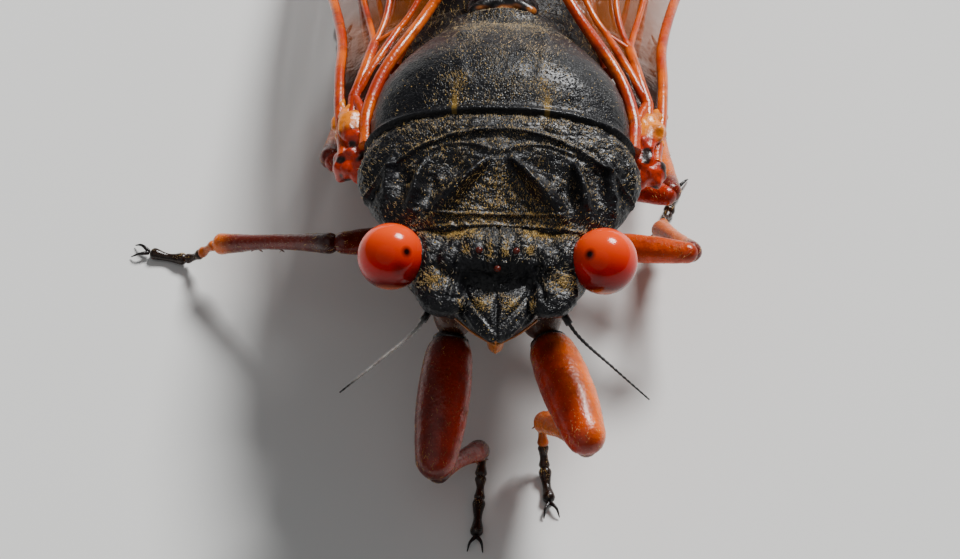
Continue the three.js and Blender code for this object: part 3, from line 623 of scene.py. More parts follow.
def eye_finish(look):
    """A glossy eye graded up the picture: orange-red above as painted light, dark red below as painted shade,
    a thin paler rim at the bottom, and the dark spots of a compound eye.
    """
    material, tree, shader = new_finish(
        "eye", Roughness=0.16, Specular_IOR_Level=0.3, IOR=1.35, Coat_Weight=0.2, Coat_Roughness=0.05,
        Subsurface_Weight=0.08, Subsurface_Radius=(0.4, 0.08, 0.02), Subsurface_Scale=0.0006,
    )
    place = millimetres(tree)
    middle = Vector(pitched((0, 0, EYE_Z))) / MM
    rise = wire(tree, "ShaderNodeVectorMath", {0: place, 1: UP}, operation="DOT_PRODUCT").outputs["Value"]
    rise = maths(tree, "SUBTRACT", rise, middle.dot(UP))
    rise = maths(tree, "ADD", rise, maths(tree, "MULTIPLY", noise(tree, place, 1.1, 2.0), 0.25))
    radius = look.eye_radius / MM
    # The colour runs up the picture: painted light on the top of the eye, painted shade low on it.
    height = between(tree, rise, -radius * 0.9, radius * 0.95)
    dark = blend(tree, between(tree, height, 0.06, 0.42), look.eye_low, look.eye_middle)
    red = blend(tree, between(tree, height, 0.42, 0.93), dark, look.eye_top)
    colour = blend(tree, between(tree, height, 0.1, 0.0), red, look.eye_rim)
    for side, across, above, size, strength in look.eye_spots():
        spot = Vector(pitched((side * EYE_X, 0, EYE_Z))) / MM
        nearer = math.sqrt(1 - across ** 2 - above ** 2)
        spot += (RIGHT * across + UP * above - AHEAD * nearer) * radius
        gap = wire(tree, "ShaderNodeVectorMath", {0: place, 1: spot}, operation="DISTANCE").outputs["Value"]
        mark = maths(tree, "MULTIPLY", between(tree, gap, size * 1.2, size * 0.35), strength)
        colour = blend(tree, mark, colour, (0.012, 0.0, 0.0))
    paint(tree, shader, colour)
    facets = wire(tree, "ShaderNodeTexVoronoi", {"Vector": place, "Scale": 26.0, "Randomness": 0.25})
    raise_surface(tree, shader, facets.outputs["Distance"], 0.0016)
    return material


def leg_finish():
    """Glossy leg shell in the tint that each leg carries, finely ridged and streaked."""
    material, tree, shader = new_finish(
        "leg shell", Specular_IOR_Level=0.35, Coat_Weight=0.15, Coat_Roughness=0.12,
        Subsurface_Weight=0.1, Subsurface_Radius=(0.5, 0.2, 0.05), Subsurface_Scale=0.0004,
    )
    place = millimetres(tree)
    tint = stored(tree, "tint", "Color")
    cloud = noise(tree, place, 0.55, 4.0)
    worn = blend(tree, between(tree, cloud, 0.42, 0.72, 0.0, 0.55), tint, (0.22, 0.035, 0.006), "MULTIPLY")
    speck = between(tree, noise(tree, place, 0.1, 2.0), 0.62, 0.74, 0.0, 0.5)
    specked = blend(tree, speck, worn, (0.05, 0.012, 0.004))
    paint(tree, shader, specked, between(tree, cloud, 0.3, 0.7, 0.2, 0.38))
    raise_surface(tree, shader, noise(tree, place, 0.14, 4.0), 0.03)
    return material


def vein_finish(look):
    """Horny orange veins, redder and darker in patches."""
    material, tree, shader = new_finish(
        "wing vein", Specular_IOR_Level=0.4, Coat_Weight=0.2, Coat_Roughness=0.08,
        Subsurface_Weight=0.08, Subsurface_Radius=(0.5, 0.2, 0.05), Subsurface_Scale=0.0003,
    )
    place = millimetres(tree)
    cloud = noise(tree, place, 1.4, 3.0)
    warm = blend(tree, between(tree, cloud, 0.35, 0.6), look.vein_light, look.vein_colour)
    dark = between(tree, noise(tree, place, 0.5, 3.0), 0.56, 0.75, 0.0, 0.75)
    patched = blend(tree, dark, warm, look.vein_dark)
    paint(tree, shader, patched, between(tree, cloud, 0.3, 0.7, 0.18, 0.35))
    raise_surface(tree, shader, noise(tree, place, 0.12, 3.0), 0.025)
    return material


def membrane_finish(look):
    """Clear amber wing skin, crinkled between its veins and smokier near its root."""
    material, tree, shader = new_finish("wing membrane", Specular_IOR_Level=0.6, IOR=1.5)
    place = millimetres(tree)
    cloud = noise(tree, place, 1.8, 3.0)
    root = stored(tree, "root")
    clear = blend(tree, cloud, look.membrane_colour, [c * 0.45 for c in look.membrane_colour])
    colour = blend(tree, between(tree, root, 0.2, 0.75), clear, look.membrane_root)
    paint(tree, shader, colour, between(tree, cloud, 0.3, 0.7, 0.12, 0.26))
    veil = between(tree, root, 0.1, 0.8, look.membrane_veil, 0.9)
    tree.links.new(veil, shader.inputs["Alpha"])
    folds = noise(tree, place, 0.5, 2.0)
    ripples = maths(tree, "ADD", folds, maths(tree, "MULTIPLY", noise(tree, place, 0.13, 2.0), 0.25))
    raise_surface(tree, shader, ripples, 0.06)
    return material


def coat_finish(look):
    """Short flat hairs, from pale silver to gold."""
    material, tree, shader = new_finish("coat", Roughness=0.38, Specular_IOR_Level=0.7)
    shade = stored(tree, "shade")
    gold = maths(tree, "ADD", stored(tree, "gold"), maths(tree, "MULTIPLY", shade, 0.5))
    colour = blend(tree, between(tree, gold, 0.3, 0.9), look.silver, look.gold)
    dim = blend(tree, between(tree, shade, 0.0, 1.0, 0.75, 0.0), colour, (0.02, 0.015, 0.01))
    paint(tree, shader, dim)
    return material


def belly_finish(look):
    """The flanks and belly: dark rings with orange-brown rear edges."""
    material, tree, shader = new_finish("belly shell", Specular_IOR_Level=0.3)
    place = millimetres(tree)
    tint = stored(tree, "tint", "Color")
    cloud = noise(tree, place, 0.7, 4.0)
    soiled = blend(tree, between(tree, cloud, 0.45, 0.75, 0.0, 0.8), tint, look.shell_colour)
    paint(tree, shader, soiled, between(tree, cloud, 0.3, 0.7, 0.26, 0.45))
    raise_surface(tree, shader, noise(tree, place, 0.15, 5.0), 0.04)
    return material


def floor_finish(look):
    """Matt pale paper."""
    material, tree, shader = new_finish("pale floor", Roughness=0.85, Specular_IOR_Level=0.2)
    mottle = noise(tree, millimetres(tree), 6.0, 2.0)
    paler = [min(1, c * 1.03) for c in look.floor_colour]
    paint(tree, shader, blend(tree, mottle, look.floor_colour, paler))
    return material


def named_input(modifier, name, value):
    """Sets a Geometry Nodes modifier's input by its socket's identifier."""
    for item in modifier.node_group.interface.items_tree:
        if item.item_type == "SOCKET" and item.in_out == "INPUT" and item.name == name:
            modifier[item.identifier] = value
            return
    raise KeyError(name)


def new_tree(name, inputs):
    """A Geometry Nodes tree with named inputs, its group input and its group output."""
    tree = bpy.data.node_groups.new(name, "GeometryNodeTree")
    for label, kind in inputs:
        tree.interface.new_socket(label, in_out="INPUT", socket_type=f"NodeSocket{kind}")
    tree.interface.new_socket("Made", in_out="OUTPUT", socket_type="NodeSocketGeometry")
    return tree, wire(tree, "NodeGroupInput").outputs, wire(tree, "NodeGroupOutput")


def kept(tree, name, kind):
    """A named attribute of the geometry."""
    return wire(tree, "GeometryNodeInputNamedAttribute", {"Name": name}, data_type=kind).outputs[0]


def chance(tree, low, high, seed):
    """A random number for each hair."""
    node = wire(tree, "FunctionNodeRandomValue", data_type="FLOAT")
    for name, value in (("Min", low), ("Max", high)):
        socket = next(s for s in node.inputs if s.name == name and s.type == "VALUE")
        socket.default_value = value
    tree.links.new(maths(tree, "ADD", seed[0], float(seed[1])), node.inputs["Seed"])
    return next(s for s in node.outputs if s.type == "VALUE")


HAIR_SAG = -0.45  # how far a hair's tip hangs, as a share of its length


def closing(tree, out, geometry, material):
    """Ends a tree: its instances made real, and given their material."""
    real = wire(tree, "GeometryNodeRealizeInstances", {"Geometry": geometry})
    sockets = {"Geometry": real.outputs[0], "Material": material}
    finished = wire(tree, "GeometryNodeSetMaterial", sockets)
    tree.links.new(finished.outputs[0], out.inputs[0])
    return tree


def hair_shape(tree, given):
    """One hair: a thin cone laid along x that sags to its tip, and keeps its unwrap as a blade."""
    sockets = {"Vertices": 3, "Side Segments": 2, "Radius Top": 0.0}
    sockets.update({"Radius Bottom": given["Width"], "Depth": given["Length"]})
    cone = wire(tree, "GeometryNodeMeshCone", sockets)
    sockets = {"Geometry": cone.outputs["Mesh"], "Rotation": (0, math.pi / 2, 0)}
    laid = wire(tree, "GeometryNodeTransform", sockets)
    place = wire(tree, "GeometryNodeInputPosition").outputs[0]
    inverse = maths(tree, "DIVIDE", 1.0, given["Length"])
    unit = wire(tree, "ShaderNodeVectorMath", {0: place, "Scale": inverse}, operation="SCALE")
    sockets = {"Geometry": laid.outputs[0], "Name": "blade", "Value": unit.outputs[0]}
    marked = wire(
        tree, "GeometryNodeStoreNamedAttribute", sockets, data_type="FLOAT_VECTOR", domain="POINT",
    )
    reach = wire(tree, "ShaderNodeSeparateXYZ", {0: place}).outputs["X"]
    squared = maths(tree, "MULTIPLY", reach, reach)
    sag = maths(tree, "MULTIPLY", maths(tree, "MULTIPLY", squared, inverse), HAIR_SAG)
    droop = wire(tree, "ShaderNodeCombineXYZ", {"Z": sag}).outputs[0]
    sockets = {"Geometry": marked.outputs[0], "Offset": droop}
    return wire(tree, "GeometryNodeSetPosition", sockets).outputs[0]


def hair_turn(tree, given, normal):
    """How each hair stands: along the skin's lie, lifted and swung by chance."""
    stand = wire(tree, "FunctionNodeAlignRotationToVector", {"Vector": normal}, axis="Z").outputs[0]
    sockets = {"Rotation": stand, "Vector": kept(tree, "lie", "FLOAT_VECTOR")}
    lie = wire(tree, "FunctionNodeAlignRotationToVector", sockets, axis="X", pivot_axis="Z")
    lift = maths(tree, "MULTIPLY", given["Lift"], chance(tree, -1.5, -0.5, (given["Seed"], 11)))
    spread = chance(tree, -0.6, 0.6, (given["Seed"], 23))
    swing = wire(tree, "ShaderNodeCombineXYZ", {"Y": lift, "Z": spread}).outputs[0]
    turn = wire(tree, "FunctionNodeEulerToRotation", {0: swing}).outputs[0]
    sockets = {"Rotation": lie.outputs[0], "Rotate By": turn}
    return wire(tree, "FunctionNodeRotateRotation", sockets, rotation_space="LOCAL").outputs[0]


def coat_tree():
    """Short hairs that lie along a skin, thick where the skin's hair value is high."""
    inputs = [("Skin", "Geometry"), ("Hairs per mm2", "Float"), ("Length", "Float"), ("Width", "Float")]
    inputs += [("Lift", "Float"), ("Seed", "Int"), ("Finish", "Material")]
    tree, given, out = new_tree("short coat", inputs)
    per_metre = maths(tree, "MULTIPLY", given["Hairs per mm2"], 1 / MM ** 2)
    density = maths(tree, "MULTIPLY", kept(tree, "hair", "FLOAT"), per_metre)
    sockets = {"Mesh": given["Skin"], "Density": density, "Seed": given["Seed"]}
    roots = wire(tree, "GeometryNodeDistributePointsOnFaces", sockets)
    sockets = {"Points": roots.outputs["Points"], "Instance": hair_shape(tree, given)}
    sockets["Rotation"] = hair_turn(tree, given, roots.outputs["Normal"])
    sockets["Scale"] = chance(tree, 0.55, 1.25, (given["Seed"], 37))
    grown = wire(tree, "GeometryNodeInstanceOnPoints", sockets)
    sockets = {"Geometry": grown.outputs[0], "Name": "shade"}
    sockets["Value"] = chance(tree, 0.0, 1.0, (given["Seed"], 41))
    shaded = wire(
        tree, "GeometryNodeStoreNamedAttribute", sockets, data_type="FLOAT", domain="INSTANCE",
    )
    return closing(tree, out, shaded.outputs[0], given["Finish"])


def rod_tree():
    """Round rods along lines, as thick as the lines' half value says."""
    inputs = [("Lines", "Geometry"), ("Thickness", "Float"), ("Sides", "Int"), ("Finish", "Material")]
    tree, given, out = new_tree("rods along lines", inputs)
    curve = wire(tree, "GeometryNodeMeshToCurve", {"Mesh": given["Lines"]})
    half = maths(tree, "MULTIPLY", kept(tree, "half", "FLOAT"), given["Thickness"])
    ring = wire(tree, "GeometryNodeCurvePrimitiveCircle", {"Resolution": given["Sides"], "Radius": 1.0})
    sockets = {"Curve": curve.outputs[0], "Profile Curve": ring.outputs["Curve"]}
    sockets.update({"Scale": half, "Fill Caps": True})
    rods = wire(tree, "GeometryNodeCurveToMesh", sockets)
    return closing(tree, out, rods.outputs[0], given["Finish"])


def tree_named(name, make):
    """A node tree that is made once."""
    return bpy.data.node_groups.get(name) or make()


HAIR_PATCH = 0.003  # how much of the unwrap one hair takes


def grow_coat(name, skin, look, seed, density=1.0, length=1.0, lift=0.35):
    """Grows the coat of a skin as a piece of its own, each hair a patch of the skin's unwrap."""
    base = as_object(name, skin)
    modifier = base.modifiers.new("coat", "NODES")
    modifier.node_group = tree_named("short coat", coat_tree)
    named_input(modifier, "Hairs per mm2", look.hairs * density)
    named_input(modifier, "Length", look.hair_length * length)
    named_input(modifier, "Width", look.hair_width * math.sqrt(length))
    named_input(modifier, "Lift", lift)
    named_input(modifier, "Seed", seed)
    named_input(modifier, "Finish", finish("coat", look))
    mesh = applied(base, name)
    count = len(mesh.vertices)
    skin_uv, blade = np.empty(count * 2, np.float32), np.empty(count * 3, np.float32)
    mesh.attributes["skin_uv"].data.foreach_get("vector", skin_uv)
    mesh.attributes["blade"].data.foreach_get("vector", blade)
    patch = skin_uv.reshape(-1, 2) + blade.reshape(-1, 3)[:, :2] * HAIR_PATCH
    corner = np.empty(len(mesh.loops), np.int32)
    mesh.loops.foreach_get("vertex_index", corner)
    for used in ("skin_uv", "blade", "lie", "hair"):
        mesh.attributes.remove(mesh.attributes[used])
    unwrap = mesh.uv_layers.new(name="OFBake")
    unwrap.uv.foreach_set("vector", patch[corner].astype(np.float32).ravel())
    mesh.shade_smooth()
    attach(base, "root")
    return base


FINISHES_MADE = {}


def finish(name, look):
    """One of the materials, made once."""
    if name not in FINISHES_MADE:
        makers = {
            "shell": lambda: shell_finish("black shell", look),
            "face": lambda: shell_finish("face shell", look, 0.6),
            "eye": lambda: eye_finish(look),
            "leg": leg_finish,
            "vein": lambda: vein_finish(look),
            "membrane": lambda: membrane_finish(look),
            "coat": lambda: coat_finish(look),
            "belly": lambda: belly_finish(look),
            "floor": lambda: floor_finish(look),
        }
        FINISHES_MADE[name] = makers[name]()
    return FINISHES_MADE[name]


# The pieces

def backward(points, splay=0.12, swirl=0.35, seed=5):
    """Hair directions that run to the rear and a little outwards, unevenly."""
    x = points[:, 0]
    aside = splay * x + swirl * grain(points, 1.3, seed)
    return turned(np.stack([aside, np.ones_like(x), np.zeros_like(x)], -1))


HEAD_GOLD = [  # places and sizes of the golden tufts, right of and above the eyes' middle
    ((1.45, 0.82), (0.95, 0.2)),
    ((0.24, 0.2), (0.13, 0.36)),
    ((1.05, 0.28), (0.16, 0.18)),
    ((2.15, -0.72), (0.5, 0.36)),
    ((1.22, -1.45), (0.09, 0.32)),
    ((2.9, 0.95), (0.35, 0.2)),
]


def build_head(look):
    """The head capsule with its lobes and ocelli, and its coat."""
    forms = [ellipsoid(*CRANIUM, 40, 60)]
    for at, radii in HEAD_LOBES:
        for side in (-1, 1):
            forms.append(ellipsoid((side * at[0], at[1], at[2]), radii))
    mesh = melted("head_capsule", forms, 0.055, 7)

    def relief(points):
        x, above = seen(points)
        front = step_up(-points[:, 1], -0.6, 0.4)
        hollow = step_up(1.5 - np.abs(x), 0, 0.5) * hump(0 * x, above, (0, -0.72), (1, 0.5))
        rise = -0.3 * look.relief * hollow * front
        seam = np.exp(-(x / 0.06) ** 2) * step_up(above, -0.4, -0.1) * step_up(points[:, 2], 0.6, 1.0)
        rise -= 0.1 * look.relief * seam
        for side in (-1, 1):
            trench, _ = off_line(x, above, (side * 0.52, 0.75), (side * 0.4, -0.25))
            rise -= 0.08 * look.relief * np.exp(-(trench / 0.08) ** 2) * front
            edge, _ = off_line(x, above, (side * 1.35, -0.25), (side * 1.55, -1.25))
            rise -= 0.13 * look.relief * np.exp(-(edge / 0.1) ** 2)
            crest, _ = off_line(x, above, (side * 1.25, -1.2), (side * 1.95, -1.12))
            rise += 0.07 * look.relief * np.exp(-(crest / 0.06) ** 2)
            dent = hump(x, above, (side * 1.25, 0.1), (0.2, 0.25))
            rise -= 0.12 * look.relief * dent
            socket = np.linalg.norm(points - [side * EYE_X, 0, EYE_Z], axis=1)
            rise -= 0.1 * np.exp(-((socket - look.eye_radius / MM - 0.06) / 0.07) ** 2)
        rise += look.relief * (0.03 * grain(points, 0.4, 3) + 0.018 * grain(points, 0.18, 4))
        return rise

    carve(mesh, relief)
    points = read(mesh)
    x, above = seen(points)
    side = np.abs(x)
    gold = sum(hump(side, above, at, wide) for at, wide in HEAD_GOLD)
    band = step_up(1.45 - side, 0, 0.25) * step_up(above, -1.5, -1.15) * step_up(-above, -0.02, 0.2)
    top = step_up(above, -0.15, 0.2) * step_up(3.3 - side, 0, 0.4)
    patchy = 0.5 + 0.5 * grain(points, 0.6, 8)
    density = 0.2 * top * (0.35 + patchy) + 0.05 + 1.15 * gold
    density = np.where(points[:, 2] < -0.2, 0.12, density) * (1 - 0.96 * band)
    low = step_up(-above, 0.98, 1.25) * step_up(side, 1.3, 1.5)
    density *= step_up(1.15 - points[:, 1], 0, 0.15) * (1 - 0.8 * low)
    write(mesh, pitched(points))
    groom(mesh, density, gold, backward(points, 0.35, 0.8), round_unwrap(points[:, [1, 0, 2]], 8))
    grow_coat("head_coat", mesh.copy(), look, 3, 1.0, 0.9, 0.5)
    dressed("head_capsule", mesh, finish("shell", look), "black_cuticle", "head")

    beads = Gathered()
    for at in OCELLI:
        points, faces = ellipsoid(at, (0.12, 0.12, 0.1), 10, 16)
        beads.add(pitched(points), faces, (0.09, 0.008, 0.003))
    dressed("ocelli", beads.mesh("ocelli"), finish("leg", look), "eye")


def build_face(look):
    """The bulging face plate, furrowed down its middle and ribbed across, and its coat."""
    rings, around = 84, 128
    share = (1 - np.cos(np.linspace(0, math.pi, rings))) / 2
    z = (FACE["ends"][0] + (FACE["ends"][1] - FACE["ends"][0]) * share)[:, None]
    turn = np.linspace(0, 2 * math.pi, around, endpoint=False)[None, :]
    x, y = np.cos(turn), np.sin(turn)
    bow = along(FACE["bow"], z)
    sharp = (np.abs(x) ** bow + np.abs(y) ** bow) ** (-1 / bow)
    reach = along(FACE["depth"], z) / 2
    grid = np.stack([
        x * sharp * along(FACE["half"], z),
        along(FACE["front"], z) + reach + y * sharp * reach,
        z + 0 * turn,
    ], -1)
    points, faces = closed(grid)
    mesh = new_mesh("face_plate", points, faces)

    def relief(points):
        x, above = seen(points)
        side = np.abs(x)
        ahead = step_up(-points[:, 1], -0.2, 0.5)
        rise = -0.13 * np.exp(-(x / 0.07) ** 2)
        rib = np.sin(2 * math.pi * (points[:, 2] - 0.5 * side) / 0.34)
        rise += 0.035 * rib * step_up(side, 0.08, 0.3) * step_up(-above, 1.7, 2.1)
        trench, _ = off_line(side, above, (0.98, -1.25), (0.1, -2.35))
        rise -= 0.07 * np.exp(-(trench / 0.08) ** 2)
        rise += 0.08 * hump(side, above, (0.5, -1.5), (0.3, 0.22))
        rise += 0.012 * grain(points, 0.15, 9)
        return rise * ahead * look.relief

    carve(mesh, relief)
    points = read(mesh)
    x, above = seen(points)
    side = np.abs(x)
    gold = hump(side, above, (0.48, -1.5), (0.36, 0.28)) * step_up(side, 0.04, 0.14)
    density = (0.1 + 1.4 * gold) * step_up(-points[:, 1], 0.2, 0.8)
    write(mesh, pitched(points))
    unwrap = round_unwrap(points[:, [0, 2, 1]], 4.4)
    groom(mesh, density, gold, turned(np.stack([0.3 * x, 0 * x - 0.4, 0 * x + 1], -1)), unwrap)
    grow_coat("face_coat", mesh.copy(), look, 5, 0.9, 0.65, 0.4)
    dressed("face_plate", mesh, finish("face", look), "black_cuticle", "face")

    beak = Gathered()
    points, faces, share = tube(BEAK, lambda s: 0.29 - 0.1 * s + 0.03 * np.cos(9 * s), 40, 20)
    points[:, 2] -= 0.06 * np.exp(-(points[:, 0] / 0.05) ** 2) * (share > 0.1)
    tip = step_up(share, 0.1, 0.75)[:, None]
    beak.add(pitched(points), faces, (1 - tip) * (0.55, 0.16, 0.008) + tip * (0.01, 0.006, 0.005))
    for side in SIDES.values():
        rim = [(side * x, y, z) for x, y, z in FACE_RIM]
        points, faces, _ = tube(rim, lambda s: 0.05 + 0 * s, 30, 10)
        beak.add(pitched(points), faces, (0.3, 0.09, 0.006))
    dressed("beak_sheath", beak.mesh("beak_sheath"), finish("leg", look), "dark_horn", "beak")


def build_eyes(look):
    """Two bulging, glossy compound eyes."""
    radius = look.eye_radius / MM
    for name, side in SIDES.items():
        piece = f"eye_{name}_lens"
        points, faces = ellipsoid((0, 0, 0), (radius,) * 3, 46, 72)
        mesh = new_mesh(piece, pitched(points + [side * EYE_X, 0, EYE_Z]), faces)
        dressed(piece, mesh, finish("eye", look), "eye", f"eye_{name}")


def build_feelers(look):
    """The two feelers: a stout scape, a second joint and a jointed whip."""
    for name, side in SIDES.items():
        stops = [(side * x, y, z) for x, y, z in FEELER]
        feeler = Gathered()

        def half(share):
            stout = np.where(share < 0.08, 0.19, 0.13)
            stout = np.where(share > 0.17, 0.062 - 0.034 * (share - 0.17) / 0.83, stout)
            rings = 1 + 0.14 * np.cos(2 * math.pi * share * 24) * (share > 0.2)
            return stout * rings

        points, faces, share = tube(stops, half, 150, 14, 1, 0.6)
        # Painted highlight: the right feeler's whip is painted paler along its middle, standing in for light
        # reflected off the shiny rod.
        pale = (step_up(share, 0.14, 0.3) * (1 - step_up(share, 0.75, 0.95)))[:, None]
        feeler.add(pitched(points), faces, BLACK + pale * (0.3, 0.29, 0.27) * (side < 0))
        piece = f"feeler_{name}_whip"
        dressed(piece, feeler.mesh(piece), finish("leg", look), "black_cuticle", f"feeler_{name}")


FURROWS = [  # in the pronotum: start and end as (side, y), depth, and width at each end
    ((0.42, 3.02), (2.1, 1.34), 0.62, 0.1, 0.34),
    ((2.5, 3.0), (2.95, 1.55), 0.56, 0.1, 0.32),
    ((3.65, 3.3), (3.8, 2.0), 0.26, 0.1, 0.26),
]
SWELLINGS = [  # and its swollen fields: place as (side, y), spread and height
    ((1.5, 2.75), (0.5, 0.42), 0.2),
    ((2.3, 2.2), (0.3, 0.6), 0.16),
    ((3.3, 2.6), (0.32, 0.6), 0.2),
    ((0.0, 1.9), (0.8, 0.7), 0.08),
    ((4.3, 2.9), (0.28, 0.6), 0.14),
]


def build_pronotum(look):
    """The shield behind the head, with its furrows, swollen fields and raised collar."""
    mesh = new_mesh("pronotum_shield", *trunk(PRONOTUM, 170, 300))

    def relief(points):
        x, y = points[:, 0], points[:, 1]
        side = np.abs(x)
        upper = step_up(points[:, 2], 0.7, 1.2)
        rise = 0
        for start, end, depth, narrow, wide in FURROWS:
            gap, share = off_line(side, y, start, end)
            ends = 0.35 + 0.65 * np.sin(math.pi * np.clip(share * 0.9 + 0.08, 0, 1))
            rise = rise - depth * ends * np.exp(-(gap / (narrow + (wide - narrow) * share)) ** 2)
        for at, spread, height in SWELLINGS:
            rise = rise + height * hump(side, y, at, spread)
        collar = 4.08 - 0.075 * x * x
        rise -= 0.13 * np.exp(-((y - collar) / 0.075) ** 2)
        rise += 0.07 * step_up(y - collar, 0.05, 0.25)
        arc = 3.6 - 0.2 * (side - 1.35) ** 2
        brow = step_up(side, 0.25, 0.5) * step_up(2.6 - side, 0, 0.3)
        rise -= 0.09 * brow * np.exp(-((y - arc) / 0.06) ** 2)
        rise += 0.05 * np.exp(-((y - collar + 0.27) / 0.12) ** 2)
        front = 1.22 + 0.02 * side
        rise -= 0.1 * np.exp(-((y - front) / 0.055) ** 2) * step_up(2.3 - side, 0, 0.3)
        rise -= 0.035 * np.exp(-(x / 0.05) ** 2) * step_up(3.6 - y, 0, 0.3)
        for start, end in (((0.35, 2.5), (1.0, 1.7)), ((0.2, 2.3), (0.55, 1.6))):
            line, _ = off_line(side, y, start, end)
            rise -= 0.03 * np.exp(-(line / 0.05) ** 2)
        rough = 0.035 * grain(points, 0.38, 11) + 0.02 * grain(points, 0.17, 12)
        return (rise * look.furrow_depth + rough * look.relief) * upper

    carve(mesh, relief)
    points = read(mesh)
    x, y = points[:, 0], points[:, 1]
    side = np.abs(x)
    upper = step_up(points[:, 2], 0.9, 1.5)
    patchy = np.clip(0.55 + 0.6 * grain(points, 0.7, 14), 0, 1)
    deep = 0
    for start, end, _, _, wide in FURROWS:
        gap, _ = off_line(side, y, start, end)
        deep = np.maximum(deep, np.exp(-(gap / (1.2 * wide)) ** 2))
    triangle = step_up(0.42 + (2.98 - y) * 1.02 - side, 0, 0.2) * step_up(3.1 - y, 0, 0.3)
    tufts = hump(side, y, (3.4, 1.25), (0.7, 0.2)), hump(side, y, (2.05, 1.05), (0.3, 0.18))
    gold = np.clip(0.75 * triangle + tufts[0] + tufts[1], 0, 1)
    density = 0.2 + 0.5 * patchy + 0.25 * triangle + 0.5 * step_up(1.25 - y, 0, 0.15)
    density += 0.7 * np.exp(-((y - 4.72) / 0.1) ** 2) * step_up(3.4 - side, 0, 0.5)
    density *= upper * (1 - 0.97 * deep) * (1 - 0.55 * step_up(side, 2.9, 3.6))
    write(mesh, pitched(points))
    groom(mesh, density, 0.35 + 0.5 * gold, backward(points), round_unwrap(points, 5))
    grow_coat("pronotum_coat", mesh.copy(), look, 7)
    dressed("pronotum_shield", mesh, finish("shell", look), "black_cuticle", "pronotum")


def build_mesonotum(look):
    """The smooth dome between the wings, and the cross-shaped ridge behind it."""
    mesh = new_mesh("mesonotum_dome", *trunk(MESONOTUM, 130, 200))

    def relief(points):
        x, y = points[:, 0], points[:, 1]
        side = np.abs(x)
        rise = -0.05 * np.exp(-((side - 1.5 + 0.08 * (y - 8) ** 2) / 0.12) ** 2) * step_up(y, 5.2, 6.5)
        rise -= 0.12 * hump(side, y, (1.3, 8.8), (0.3, 0.35))
        rise -= 0.3 * hump(side, y, (0, 10.6), (1.1, 0.35))
        rise += 0.08 * hump(side, y, (0, 10.1), (0.6, 0.3))
        rise -= 0.2 * np.exp(-((y - 5.0) / 0.13) ** 2)
        return look.relief * (rise + 0.012 * grain(points, 0.5, 21) + 0.008 * grain(points, 0.17, 22))

    carve(mesh, relief)
    points = read(mesh)
    x, y = points[:, 0], points[:, 1]
    side = np.abs(x)
    _, above = seen(points)
    upper = step_up(points[:, 2], 1.4, 2.4)
    patchy = np.clip(0.5 + 0.7 * grain(points, 0.8, 24), 0, 1)
    middle = step_up(3.0 - side - 0.2 * (y - 5), 0, 1.2)
    gold = hump(side, above, (1.55, 5.1), (0.15, 0.42)) + 0.4 * hump(side, above, (1.4, 5.9), (0.22, 0.3))
    ashen = 0.9 * hump(side, y, (0, 9.9), (1.5, 0.75))
    density = upper * (middle * (0.12 + 0.45 * patchy) + 2.6 * gold + ashen + 0.04) * step_up(y, 5.0, 5.2)
    write(mesh, pitched(points))
    groom(mesh, density, 0.3 + 1.5 * gold, backward(points), round_unwrap(points, 7.5))
    grow_coat("mesonotum_coat", mesh.copy(), look, 9)
    dressed("mesonotum_dome", mesh, finish("shell", look), "black_cuticle", "mesonotum")

    forms = [ellipsoid((0, 11.8, 1.5), (1.25, 0.85, 0.7))]
    for side in SIDES.values():
        for end in ((11.15, 1.85), (12.6, 1.7)):
            stops = [(0, 11.75, 1.95), (side * 0.6, (11.75 + end[0]) / 2, 1.97), (side * 1.15, *end)]
            forms.append(tube(stops, lambda s: 0.28 - 0.06 * s, 20, 14)[:2])
    cross = melted("cross_ridge", forms, 0.05, 5)
    points = read(cross)
    ridge = (step_up(points[:, 2], 1.75, 2.1) * step_up(grain(points, 0.6, 43), 0.1, 0.6))[:, None]
    write(cross, pitched(points))
    keep_tint(cross, ridge * (0.4, 0.12, 0.015) + (1 - ridge) * BLACK)
    dressed("cross_ridge", cross, finish("leg", look), "black_cuticle", "cruciform_elevation")


